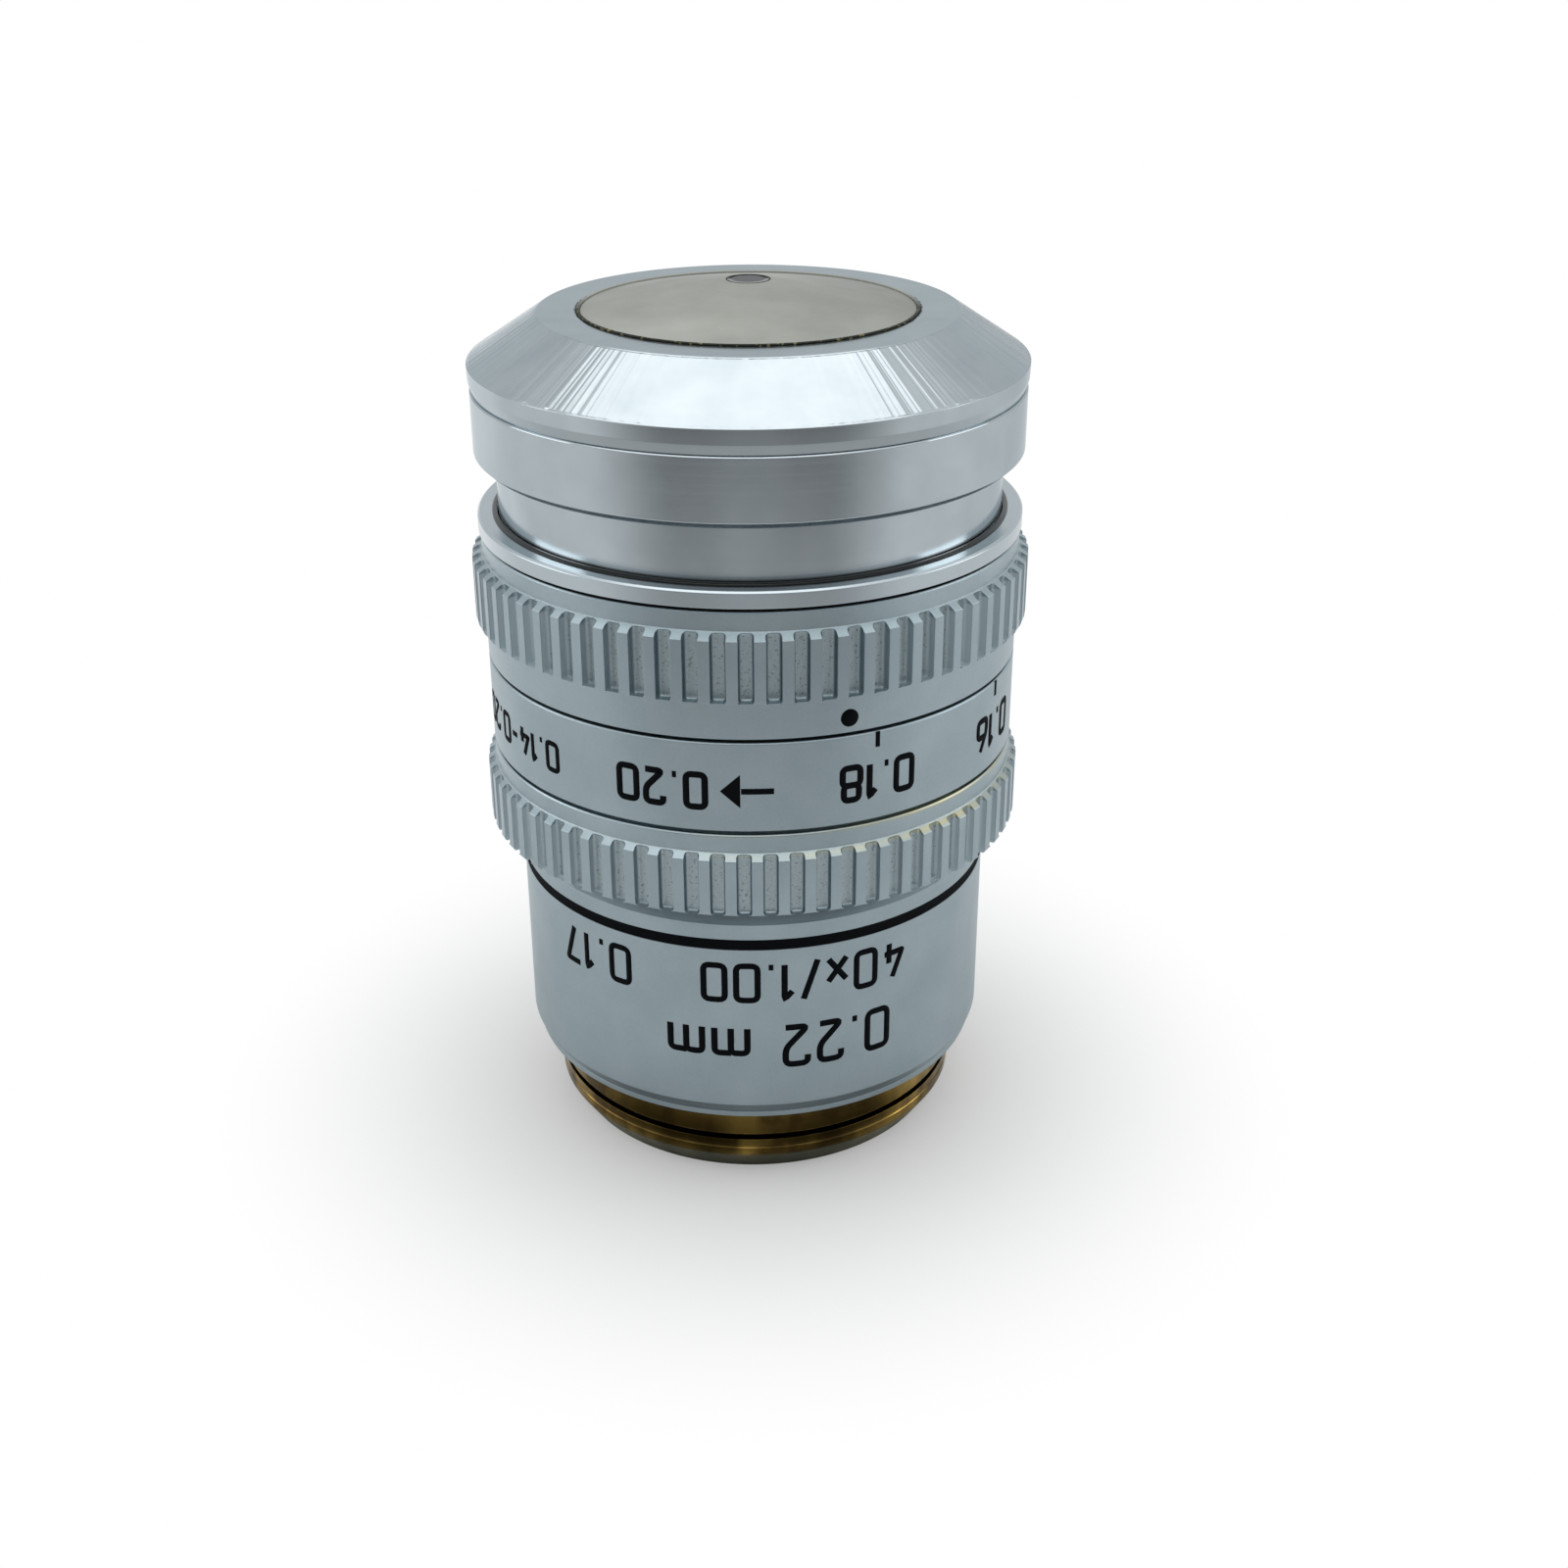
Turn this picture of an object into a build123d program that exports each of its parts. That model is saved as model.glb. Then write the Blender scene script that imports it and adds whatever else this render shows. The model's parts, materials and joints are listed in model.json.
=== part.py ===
"""Immersion microscope objective with a correction collar and a sprung nose, in millimetres.

It stands on the end of its mounting thread, which is z = 0, with the front lens up on +Z.
The front, where the index dot stands beside the scale, faces -Y.
"""

import os
from math import cos, degrees, pi, radians, sin, sqrt

from build123d import *

os.makedirs("parts", exist_ok=True)

# Clearances
seat_gap = 0.02
run_gap = 0.05
free_gap = 0.15
lens_gap = 0.01
edge_break = 0.08

# Mounting thread, its end chamfer and run-out groove, and the locating shoulder
thread_r = 12.5
thread_length = 5.1
end_chamfer_height = 1.35
end_chamfer_depth = 0.9
groove_height = 2.5
groove_width = 0.4
groove_depth = 0.5
shoulder_height = 0.36

# Guide tube behind the outer rings
tube_step = 0.55
tube_wall = 1.05
spring_seat_height = 0.74

# Lower barrel with the line let into it
barrel_step = 1.35
barrel_height = 12.72
barrel_bevel_depth = 0.32
barrel_bevel_height = 0.64
line_drop = 0.98
line_width = 0.64
line_depth = 0.12

# Grip ring, scale ring and correction collar share one plain radius
ring_wall = 2.42
slot_count = 69
slot_width = 0.82
slot_corner = 0.2
slot_floor = 0.03
flare_height = 1.6
grip_knurl_height = 3.3
grip_crest = 0.46
grip_bevel = 0.35
grip_crest_azimuth = -89.3
grip_band_height = 1.04
seam_height = 0.2
seam_depth = 0.6
scale_height = 5.22
collar_gap = 0.17
collar_band_height = 2.32
collar_knurl_height = 3.44
collar_crest = 0.57
collar_bevel = 0.36
collar_crest_azimuth = -88.5
collar_top_height = 1.04

# Retaining ring that closes the body
closing_gap = 0.21
retainer_step = 0.11
retainer_face_height = 0.81
retainer_bevel = 0.13
retainer_wall = 0.4
retainer_thread = 1.8
lip_height = 0.7
lip_reach = 0.75

# Nose: neck, band, conical cap with a bevel under its rim, and front lens cell
neck_step = 1.08
neck_wall = 1.39
neck_length = 3.21
neck_entry = 0.45
nose_step = 0.09
nose_bevel = 0.35
band_height = 3.77
hub_height = 2.0
cap_bevel_height = 0.58
cap_bevel_depth = 0.13
rim_height = 0.82
rim_flare = 0.08
cone_height = 2.58
cone_run = 3.87
cap_wall = 1.66
cap_spigot_height = 2.6
flat_width = 2.43
front_cell_gap = 0.22
front_cell_rise = 1.52
cap_spigot_wall = 2.4
front_flange_height = 2.0
front_flange_drop = 0.75
front_spigot_height = 1.6

# Sprung travel of the nose, and the turn and lift of the correction
retract_travel = 1.8
index_azimuth = -70.7
turn_back = 40.0
turn_on = 85.0
lift_per_radian = 0.34

# Lens barrel, cam sleeve, stop ring and the pins
cam_room = 0.15
spring_room = 1.75
front_wall = 1.37
slide_wall = 1.79
rear_wall = 0.87
stop_ring_height = 1.0
cam_wall = 1.0
cam_tail = 4.95
key_r = 0.8
key_head_r = 0.95
key_head_height = 0.9
key_sink = 0.07
key_reach = 0.65
follower_r = 0.6
follower_reach = 0.9
follower_root = 1.64
follower_drop = 4.0
guide_pin_r = 0.6
guide_pin_reach = 1.0
guide_margin = 0.5
spring_wire_r = 0.5
spring_turns = 4

# Front lenses: a hemisphere behind a small window, then two menisci, in shares of the widest.
# The curve of every lens face is given in lens radii.
meniscus_wall = 4.28
window_share = 0.223
window_lip = 0.3
hemisphere_share = 0.346
hemisphere_edge = 0.3
hemisphere_curve = 1.056
first_meniscus_share = 0.654
first_meniscus_gap = 0.72
first_meniscus_thickness = 1.6
first_meniscus_front_curve = 1.76
first_meniscus_rear_curve = 1.235
second_meniscus_gap = 0.5
second_meniscus_thickness = 1.8
second_meniscus_front_curve = 2.31
second_meniscus_rear_curve = 1.442

# Cemented doublet and triplet of the front stack
lens_lip = 0.6
doublet_wall = 3.08
doublet_cell_height = 4.4
doublet_recess = 0.2
doublet_crown = 2.8
doublet_flint = 0.9
doublet_front_curve = 3.6
doublet_joint_curve = 3.2
doublet_rear_curve = 6.25
front_spacer_height = 0.8
spacer_wall = 2.2
triplet_wall = 2.08
triplet_cell_height = 6.8
triplet_recess = 0.2
triplet_crown = 2.7
triplet_flint = 0.8
triplet_outer_curve = 5.2
triplet_joint_curve = 3.4

# Moving doublet and its cell
slide_front_room = 1.0
slide_rear_room = 3.5
slide_cell_height = 6.0
slide_cell_wall = 2.26
slide_recess = 0.8
slide_crown = 3.0
slide_flint = 1.2
slide_front_curve = 5.15
slide_joint_curve = 3.24
slide_rear_curve = 8.8
slide_ring_height = 1.0
slide_ring_wall = 0.7

# Rear doublet, spacer, rear pair and the ring that closes the lens barrel
rear_doublet_wall = 3.18
rear_doublet_cell_height = 6.2
rear_doublet_recess = 0.5
rear_doublet_crown = 2.8
rear_doublet_flint = 1.2
rear_doublet_front_curve = 6.45
rear_doublet_joint_curve = 2.74
rear_doublet_rear_curve = 7.26
rear_spacer_height = 3.0
rear_pair_wall = 3.98
rear_pair_cell_height = 5.5
rear_pair_recess = 1.1
rear_pair_flint = 1.0
rear_pair_crown = 2.6
rear_pair_front_curve = 4.63
rear_pair_joint_curve = 2.59
rear_pair_rear_curve = 7.4
rear_ring_height = 1.6
rear_ring_sink = 0.2
rear_stop_reach = 0.4
spanner_slot_width = 1.2
spanner_slot_depth = 0.8

# Radii of the outer pieces, from the thread out
tube_r = thread_r + tube_step
ring_r = tube_r + ring_wall
barrel_r = ring_r - barrel_step
shoulder_r = barrel_r - barrel_bevel_depth
retainer_r = ring_r + retainer_step
neck_r = ring_r - neck_step
nose_r = ring_r + nose_step
flat_r = nose_r - cone_run
cap_spigot_r = nose_r - cap_wall
front_cell_r = flat_r - flat_width
front_flange_r = cap_spigot_r - cap_spigot_wall

# Radii of the lens barrel, its bores and the lenses, from the guide tube in
tube_bore_r = tube_r - tube_wall
lens_tube_r = tube_bore_r - cam_room - cam_wall
tail_r = tube_bore_r - spring_room
front_stack_r = lens_tube_r - front_wall
slide_r = lens_tube_r - slide_wall
rear_stack_r = tail_r - rear_wall
second_meniscus_r = front_stack_r - meniscus_wall
first_meniscus_r = second_meniscus_r * first_meniscus_share
hemisphere_r = second_meniscus_r * hemisphere_share
window_r = second_meniscus_r * window_share
doublet_r = front_stack_r - doublet_wall
triplet_r = front_stack_r - triplet_wall
slide_lens_r = slide_r - slide_cell_wall
rear_doublet_r = rear_stack_r - rear_doublet_wall
rear_pair_r = rear_stack_r - rear_pair_wall
rear_stop_r = rear_pair_r - rear_stop_reach

# Heights of the outer stack, from the thread end up
shoulder_z = thread_length
barrel_z = shoulder_z + shoulder_height
grip_z = barrel_z + barrel_height
grip_knurl_z = grip_z + flare_height
grip_bevel_z = grip_knurl_z + grip_knurl_height
grip_band_z = grip_bevel_z + grip_bevel
grip_top_z = grip_band_z + grip_band_height
scale_z = grip_top_z + seam_height
scale_top_z = scale_z + scale_height
collar_z = scale_top_z + collar_gap
collar_knurl_z = collar_z + collar_band_height
collar_bevel_z = collar_knurl_z + collar_knurl_height
collar_top_band_z = collar_bevel_z + collar_bevel
collar_top_z = collar_top_band_z + collar_top_height
retainer_z = collar_top_z + closing_gap
retainer_top_z = retainer_z + retainer_face_height + retainer_bevel
nose_z = retainer_top_z + neck_length
band_top_z = nose_z + band_height
rim_z = band_top_z + cap_bevel_height
cone_z = rim_z + rim_height
flat_z = cone_z + cone_height
front_z = flat_z + front_cell_rise

# Heights and radii inside, from the nose down
neck_end_z = retainer_top_z - neck_entry
lip_top_z = neck_end_z - retract_travel - free_gap
tube_top_z = lip_top_z - lip_height
retainer_skirt_z = tube_top_z - retainer_thread
retainer_bore_r = neck_r + run_gap
retainer_skirt_r = retainer_bore_r + retainer_wall
collar_bore_z = retainer_skirt_z - free_gap
collar_counterbore_r = retainer_skirt_r + 2 * run_gap
spring_seat_z = barrel_z + spring_seat_height
cap_spigot_z = band_top_z - cap_spigot_height
hub_z = cap_spigot_z - hub_height
barrel_top_z = band_top_z - front_flange_drop
cell_flange_z = barrel_top_z + front_flange_height
stack_top_z = barrel_top_z - front_spigot_height
doublet_cell_z = stack_top_z - doublet_cell_height
front_spacer_z = doublet_cell_z - front_spacer_height
triplet_cell_z = front_spacer_z - triplet_cell_height
slide_cell_top_z = triplet_cell_z - slide_front_room
slide_cell_z = slide_cell_top_z - slide_cell_height
slide_floor_z = slide_cell_z - slide_rear_room
rear_doublet_cell_z = slide_floor_z - rear_doublet_cell_height
rear_spacer_z = rear_doublet_cell_z - rear_spacer_height
rear_pair_cell_z = rear_spacer_z - rear_pair_cell_height
rear_ring_z = rear_pair_cell_z - rear_ring_height
tail_z = rear_ring_z - rear_ring_sink
follower_z = slide_cell_top_z - follower_drop
land_top_z = follower_z - cam_tail
land_z = land_top_z - retract_travel - 2 * guide_pin_r - guide_margin
land_r = tube_bore_r - run_gap
guide_pin_z = land_z + guide_pin_r + guide_margin
stop_ring_top_z = tube_top_z - run_gap
stop_ring_z = stop_ring_top_z - stop_ring_height
lip_r = land_r - lip_reach
cam_bore_r = lens_tube_r + run_gap
cam_r = cam_bore_r + cam_wall
key_z = collar_z + collar_band_height / 2
key_tip_r = cam_r - key_reach
follower_tip_r = cam_bore_r + follower_reach
lift_back = -lift_per_radian * radians(turn_back)
lift_on = lift_per_radian * radians(turn_on)

# Directions round the axis: the key opposite the index dot, the pins a quarter turn either side
key_azimuth = index_azimuth + 180
follower_azimuth = index_azimuth + 90
guide_azimuth = index_azimuth - 90


def radial_plane(azimuth, height, distance):
    """Plane at a height and a distance from the axis, facing outward at an azimuth."""
    out = Vector(cos(radians(azimuth)), sin(radians(azimuth)), 0)
    side = Vector(-sin(radians(azimuth)), cos(radians(azimuth)), 0)
    return Plane(origin=out * distance + Vector(0, 0, height), x_dir=side, z_dir=out)


def half_plane(azimuth):
    """Upright plane through the axis, with its x axis outward at an azimuth and its y axis up."""
    out = (cos(radians(azimuth)), sin(radians(azimuth)), 0)
    normal = (sin(radians(azimuth)), -cos(radians(azimuth)), 0)
    return Plane(origin=(0, 0, 0), x_dir=out, z_dir=normal)


def turned(points):
    """Revolve a closed half section of (radius, height) points about the axis."""
    with BuildSketch(Plane.XZ) as section:
        with BuildLine():
            Polyline(*points, close=True)
        make_face()
    revolve(section.sketch, axis=Axis.Z)


def mill_slots(bottom, top, crest_azimuth):
    """Cut the flat-bottomed slots of a knurl, nearly down to the plain radius of its ring."""
    first = crest_azimuth + 180 / slot_count
    with BuildSketch(Plane.XY.offset(bottom)) as slots:
        with PolarLocations(ring_r + slot_floor + slot_width, slot_count, start_angle=first):
            RectangleRounded(2 * slot_width, slot_width, slot_corner)
    extrude(slots.sketch, amount=top - bottom, mode=Mode.SUBTRACT)


def sag(curve, radius):
    """Fall of a spherical face at a radius: a face of positive curve falls, a negative one rises."""
    depth = abs(curve) - sqrt(curve**2 - radius**2)
    return depth if curve > 0 else -depth


def ground(radius, front, front_curve, thickness, rear_curve):
    """Revolve a lens from its front vertex height, centre thickness and curves in lens radii."""
    rear = front - thickness
    half = radius / 2
    front_sphere = front_curve * radius
    rear_sphere = rear_curve * radius
    front_edge = front - sag(front_sphere, radius)
    rear_edge = rear - sag(rear_sphere, radius)
    with BuildSketch(Plane.XZ) as section:
        with BuildLine():
            ThreePointArc((0, front), (half, front - sag(front_sphere, half)), (radius, front_edge))
            Line((radius, front_edge), (radius, rear_edge))
            ThreePointArc((radius, rear_edge), (half, rear - sag(rear_sphere, half)), (0, rear))
            Line((0, rear), (0, front))
        make_face()
    revolve(section.sketch, axis=Axis.Z)


def rear_seat(rear, curve, radius):
    """Height of the lip that carries a lens by its rear face, just inside its edge."""
    inner = rear - sag(curve * radius, radius - lens_lip)
    outer = rear - sag(curve * radius, radius)
    return min(inner, outer) - lens_gap


def cell(outer_r, bottom, top, lens_r, seat):
    """Revolve a lens cell with a lip under the lens seat."""
    bore = lens_r + lens_gap
    mouth = lens_r - lens_lip
    turned([(mouth, bottom), (outer_r, bottom), (outer_r, top), (bore, top), (bore, seat), (mouth, seat)])


def write(piece, name):
    """Label a finished piece and write its STEP file."""
    piece.part.label = name
    export_step(piece.part, f"parts/{name}.step")


# Mount body: brass thread, shoulder and guide tube, with a window for the collar key
with BuildPart() as mount_body:
    turned([
        (tail_r + run_gap, 0),
        (thread_r - end_chamfer_depth, 0),
        (thread_r, end_chamfer_height),
        (thread_r, groove_height),
        (thread_r - groove_depth, groove_height),
        (thread_r - groove_depth, groove_height + groove_width),
        (thread_r, groove_height + groove_width),
        (thread_r, shoulder_z),
        (shoulder_r, shoulder_z),
        (shoulder_r, barrel_z),
        (tube_r, barrel_z),
        (tube_r, tube_top_z),
        (tube_bore_r, tube_top_z),
        (tube_bore_r, spring_seat_z),
        (tail_r + run_gap, spring_seat_z),
    ])
    window_swing = degrees((key_r + free_gap) / tube_bore_r)
    with BuildSketch(half_plane(key_azimuth - turn_back - window_swing)):
        with Locations((tube_r - tube_wall / 2, key_z)):
            Rectangle(3 * tube_wall, 2 * (key_r + free_gap))
    revolve(axis=Axis.Z, revolution_arc=turn_back + turn_on + 2 * window_swing, mode=Mode.SUBTRACT)
    with BuildSketch(radial_plane(guide_azimuth, guide_pin_z, tube_bore_r - tube_wall)):
        Circle(guide_pin_r + lens_gap)
    extrude(amount=3 * tube_wall, mode=Mode.SUBTRACT)
write(mount_body, "mount_body")

# Lower barrel sleeve on the shoulder, with a bevelled foot and a shallow groove for the black line
with BuildPart() as barrel_sleeve:
    line_top_z = grip_z - line_drop
    turned([
        (tube_r + seat_gap, barrel_z),
        (shoulder_r, barrel_z),
        (barrel_r, barrel_z + barrel_bevel_height),
        (barrel_r, line_top_z - line_width),
        (barrel_r - line_depth, line_top_z - line_width),
        (barrel_r - line_depth, line_top_z),
        (barrel_r, line_top_z),
        (barrel_r, grip_z),
        (tube_r + seat_gap, grip_z),
    ])
write(barrel_sleeve, "barrel_sleeve")

# Lower knurled ring: flares out from the barrel, is slotted for grip, and carries the scale ring
with BuildPart() as grip_ring:
    turned([
        (tube_r + seat_gap, grip_z),
        (barrel_r, grip_z),
        (ring_r, grip_knurl_z),
        (ring_r + grip_crest, grip_knurl_z),
        (ring_r + grip_crest, grip_bevel_z),
        (ring_r, grip_band_z),
        (ring_r, grip_top_z - edge_break),
        (ring_r - edge_break, grip_top_z),
        (ring_r - seam_depth, grip_top_z),
        (ring_r - seam_depth, scale_z),
        (tube_r + seat_gap, scale_z),
    ])
    mill_slots(grip_knurl_z, grip_band_z, grip_crest_azimuth)
write(grip_ring, "grip_ring")

# Fixed scale ring
with BuildPart() as scale_ring:
    turned([
        (tube_r + seat_gap, scale_z),
        (ring_r - edge_break, scale_z),
        (ring_r, scale_z + edge_break),
        (ring_r, scale_top_z - edge_break),
        (ring_r - edge_break, scale_top_z),
        (tube_r + seat_gap, scale_top_z),
    ])
write(scale_ring, "scale_ring")

# Correction collar: turns on the guide tube, recessed over the retaining ring's skirt
with BuildPart() as correction_collar:
    turned([
        (tube_r + run_gap, collar_z),
        (ring_r - edge_break, collar_z),
        (ring_r, collar_z + edge_break),
        (ring_r, collar_knurl_z),
        (ring_r + collar_crest, collar_knurl_z),
        (ring_r + collar_crest, collar_bevel_z),
        (ring_r, collar_top_band_z),
        (ring_r, collar_top_z - edge_break),
        (ring_r - edge_break, collar_top_z),
        (collar_counterbore_r, collar_top_z),
        (collar_counterbore_r, collar_bore_z),
        (tube_r + run_gap, collar_bore_z),
    ])
    mill_slots(collar_knurl_z, collar_top_band_z, collar_crest_azimuth)
    with BuildSketch(radial_plane(key_azimuth, key_z, tube_r - tube_wall)):
        Circle(key_r + lens_gap)
    extrude(amount=ring_r - tube_r + 2 * tube_wall, mode=Mode.SUBTRACT)
    with BuildSketch(radial_plane(key_azimuth, key_z, ring_r - key_sink - key_head_height)):
        Circle(key_head_r + lens_gap)
    extrude(amount=key_head_height + tube_wall, mode=Mode.SUBTRACT)
write(correction_collar, "correction_collar")

# Key screw: its slotted head sits in the collar and its tip runs in the cam sleeve's key slot
with BuildPart() as collar_key:
    with BuildSketch(radial_plane(key_azimuth, key_z, key_tip_r)):
        Circle(key_r)
    extrude(amount=ring_r - key_sink - key_tip_r)
    with BuildSketch(radial_plane(key_azimuth, key_z, ring_r - key_sink - key_head_height)):
        Circle(key_head_r)
    extrude(amount=key_head_height)
    with BuildSketch(radial_plane(key_azimuth, key_z, ring_r - key_sink - key_head_height / 2)):
        Rectangle(3 * key_head_r, key_head_r / 3)
    extrude(amount=key_head_height, mode=Mode.SUBTRACT)
write(collar_key, "collar_key")

# Retaining ring: its skirt screws onto the guide tube and its lip stops the optics
with BuildPart() as retaining_ring:
    turned([
        (tube_r + seat_gap, retainer_skirt_z),
        (retainer_skirt_r, retainer_skirt_z),
        (retainer_skirt_r, retainer_z),
        (retainer_r, retainer_z),
        (retainer_r, retainer_z + retainer_face_height),
        (retainer_r - retainer_bevel, retainer_top_z),
        (retainer_bore_r, retainer_top_z),
        (retainer_bore_r, lip_top_z),
        (lip_r, lip_top_z),
        (lip_r, tube_top_z),
        (tube_r + seat_gap, tube_top_z),
    ])
write(retaining_ring, "retaining_ring")

# Front sleeve: thin neck, wide band, and a hub that screws onto the lens barrel
with BuildPart() as front_sleeve:
    turned([
        (neck_r - neck_wall, neck_end_z),
        (neck_r, neck_end_z),
        (neck_r, nose_z),
        (nose_r - nose_bevel, nose_z),
        (nose_r, nose_z + nose_bevel),
        (nose_r, band_top_z - edge_break),
        (nose_r - edge_break, band_top_z),
        (cap_spigot_r + seat_gap, band_top_z),
        (cap_spigot_r + seat_gap, cap_spigot_z),
        (lens_tube_r + seat_gap, cap_spigot_z),
        (lens_tube_r + seat_gap, hub_z),
        (neck_r - neck_wall, hub_z),
    ])
write(front_sleeve, "front_sleeve")

# Conical nose cap: seats on the band, clamps the front cell and is bevelled under its rim
with BuildPart() as nose_cap:
    turned([
        (front_flange_r + seat_gap, cap_spigot_z + free_gap),
        (cap_spigot_r, cap_spigot_z + free_gap),
        (cap_spigot_r, band_top_z),
        (nose_r - cap_bevel_depth, band_top_z),
        (nose_r, rim_z),
        (nose_r + rim_flare, cone_z),
        (flat_r, flat_z),
        (front_cell_r + front_cell_gap, flat_z),
        (front_cell_r + front_cell_gap, cell_flange_z),
        (front_flange_r + seat_gap, cell_flange_z),
    ])
write(nose_cap, "nose_cap")

# Front lens cell: matt cone, flange and spigot, stepped inside for the window and two menisci
hemisphere_sphere = hemisphere_curve * hemisphere_r
window_shoulder_z = front_z - window_lip - (hemisphere_r - window_r)
hemisphere_edge_z = window_shoulder_z - hemisphere_edge
hemisphere_rear_z = hemisphere_edge_z - sag(hemisphere_sphere, hemisphere_r)
first_front_z = hemisphere_rear_z - first_meniscus_gap
second_front_z = first_front_z - first_meniscus_thickness - second_meniscus_gap
first_rise = sag(first_meniscus_front_curve * first_meniscus_r, first_meniscus_r)
second_rise = sag(second_meniscus_front_curve * second_meniscus_r, second_meniscus_r)
first_seat_z = first_front_z + first_rise + lens_gap
second_seat_z = second_front_z + second_rise + lens_gap
with BuildPart() as front_lens_cell:
    turned([
        (second_meniscus_r + lens_gap, stack_top_z),
        (front_stack_r, stack_top_z),
        (front_stack_r, barrel_top_z),
        (front_flange_r, barrel_top_z),
        (front_flange_r, cell_flange_z),
        (front_cell_r, cell_flange_z),
        (front_cell_r, flat_z),
        (window_r + lens_gap, front_z),
        (window_r + lens_gap, front_z - window_lip),
        (hemisphere_r + lens_gap, window_shoulder_z),
        (hemisphere_r + lens_gap, first_seat_z),
        (first_meniscus_r + lens_gap, first_seat_z),
        (first_meniscus_r + lens_gap, second_seat_z),
        (second_meniscus_r + lens_gap, second_seat_z),
    ])
write(front_lens_cell, "front_lens_cell")

# Front lens: flat window, bevelled shoulder and a near hemisphere behind
with BuildPart() as front_lens:
    with BuildSketch(Plane.XZ):
        with BuildLine():
            Polyline(
                (0, hemisphere_rear_z),
                (0, front_z),
                (window_r, front_z),
                (window_r, front_z - window_lip),
                (hemisphere_r, window_shoulder_z),
                (hemisphere_r, hemisphere_edge_z),
            )
            middle = hemisphere_r / 2
            ThreePointArc(
                (hemisphere_r, hemisphere_edge_z),
                (middle, hemisphere_rear_z + sag(hemisphere_sphere, middle)),
                (0, hemisphere_rear_z),
            )
        make_face()
    revolve(axis=Axis.Z)
write(front_lens, "front_lens")

with BuildPart() as front_meniscus:
    ground(
        first_meniscus_r, first_front_z, -first_meniscus_front_curve,
        first_meniscus_thickness, -first_meniscus_rear_curve,
    )
write(front_meniscus, "front_meniscus")

with BuildPart() as second_meniscus:
    ground(
        second_meniscus_r, second_front_z, -second_meniscus_front_curve,
        second_meniscus_thickness, -second_meniscus_rear_curve,
    )
write(second_meniscus, "second_meniscus")

# Lens barrel: slides in the guide tube on its tail and its land, and carries every lens cell
with BuildPart() as lens_barrel:
    turned([
        (rear_stack_r + seat_gap, tail_z),
        (tail_r, tail_z),
        (tail_r, land_z),
        (land_r, land_z),
        (land_r, land_top_z),
        (lens_tube_r, land_top_z),
        (lens_tube_r, barrel_top_z),
        (front_stack_r + seat_gap, barrel_top_z),
        (front_stack_r + seat_gap, triplet_cell_z),
        (slide_r + run_gap, triplet_cell_z),
        (slide_r + run_gap, slide_floor_z),
        (rear_stack_r + seat_gap, slide_floor_z),
    ])
    slot_low_z = follower_z + lift_back
    slot_high_z = follower_z + lift_on
    with BuildSketch(radial_plane(follower_azimuth, (slot_low_z + slot_high_z) / 2, slide_r / 2)):
        SlotCenterToCenter(slot_high_z - slot_low_z, 2 * (follower_r + run_gap), rotation=90)
    extrude(amount=lens_tube_r, mode=Mode.SUBTRACT)
    with BuildSketch(radial_plane(guide_azimuth, (land_z + land_top_z) / 2, lens_tube_r)):
        Rectangle(2 * (guide_pin_r + run_gap), land_top_z - land_z + 2 * guide_margin)
    extrude(amount=2 * (land_r - lens_tube_r), mode=Mode.SUBTRACT)
write(lens_barrel, "lens_barrel")

# Stop ring on the lens barrel: the forward stop, which also keeps the cam sleeve in place
with BuildPart() as stop_ring:
    turned([
        (lens_tube_r + seat_gap, stop_ring_z),
        (cam_r, stop_ring_z),
        (cam_r, stop_ring_top_z),
        (lens_tube_r + seat_gap, stop_ring_top_z),
    ])
write(stop_ring, "stop_ring")

# Cam sleeve: an axial key slot open at the top, and a helical slot that lifts the follower pin
slot_swing = degrees((follower_r + free_gap) / cam_bore_r)
slot_turn = turn_back + turn_on + 2 * slot_swing
helix_pitch = 2 * pi * lift_per_radian
helix_height = helix_pitch * slot_turn / 360
helix_r = cam_bore_r + cam_wall / 2
helix_start = follower_azimuth + turn_back + slot_swing
helix_z = follower_z + lift_back - lift_per_radian * radians(slot_swing)
slot_helix = Helix(helix_pitch, helix_height, helix_r, lefthand=True)
slot_path = Location((0, 0, helix_z), (0, 0, helix_start)) * slot_helix
with BuildPart() as cam_sleeve:
    turned([
        (cam_bore_r, land_top_z + run_gap),
        (cam_r, land_top_z + run_gap),
        (cam_r, stop_ring_z - run_gap),
        (cam_bore_r, stop_ring_z - run_gap),
    ])
    key_slot_z = key_z - key_r - free_gap
    with BuildSketch(radial_plane(key_azimuth, (key_slot_z + stop_ring_top_z) / 2, cam_bore_r - cam_wall)):
        Rectangle(2 * (key_r + run_gap), stop_ring_top_z - key_slot_z)
    extrude(amount=3 * cam_wall, mode=Mode.SUBTRACT)
    with BuildSketch(half_plane(helix_start)):
        with Locations((helix_r, helix_z)):
            Rectangle(2 * cam_wall, 2 * (follower_r + run_gap))
    sweep(path=slot_path, is_frenet=True, mode=Mode.SUBTRACT)
write(cam_sleeve, "cam_sleeve")

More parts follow.
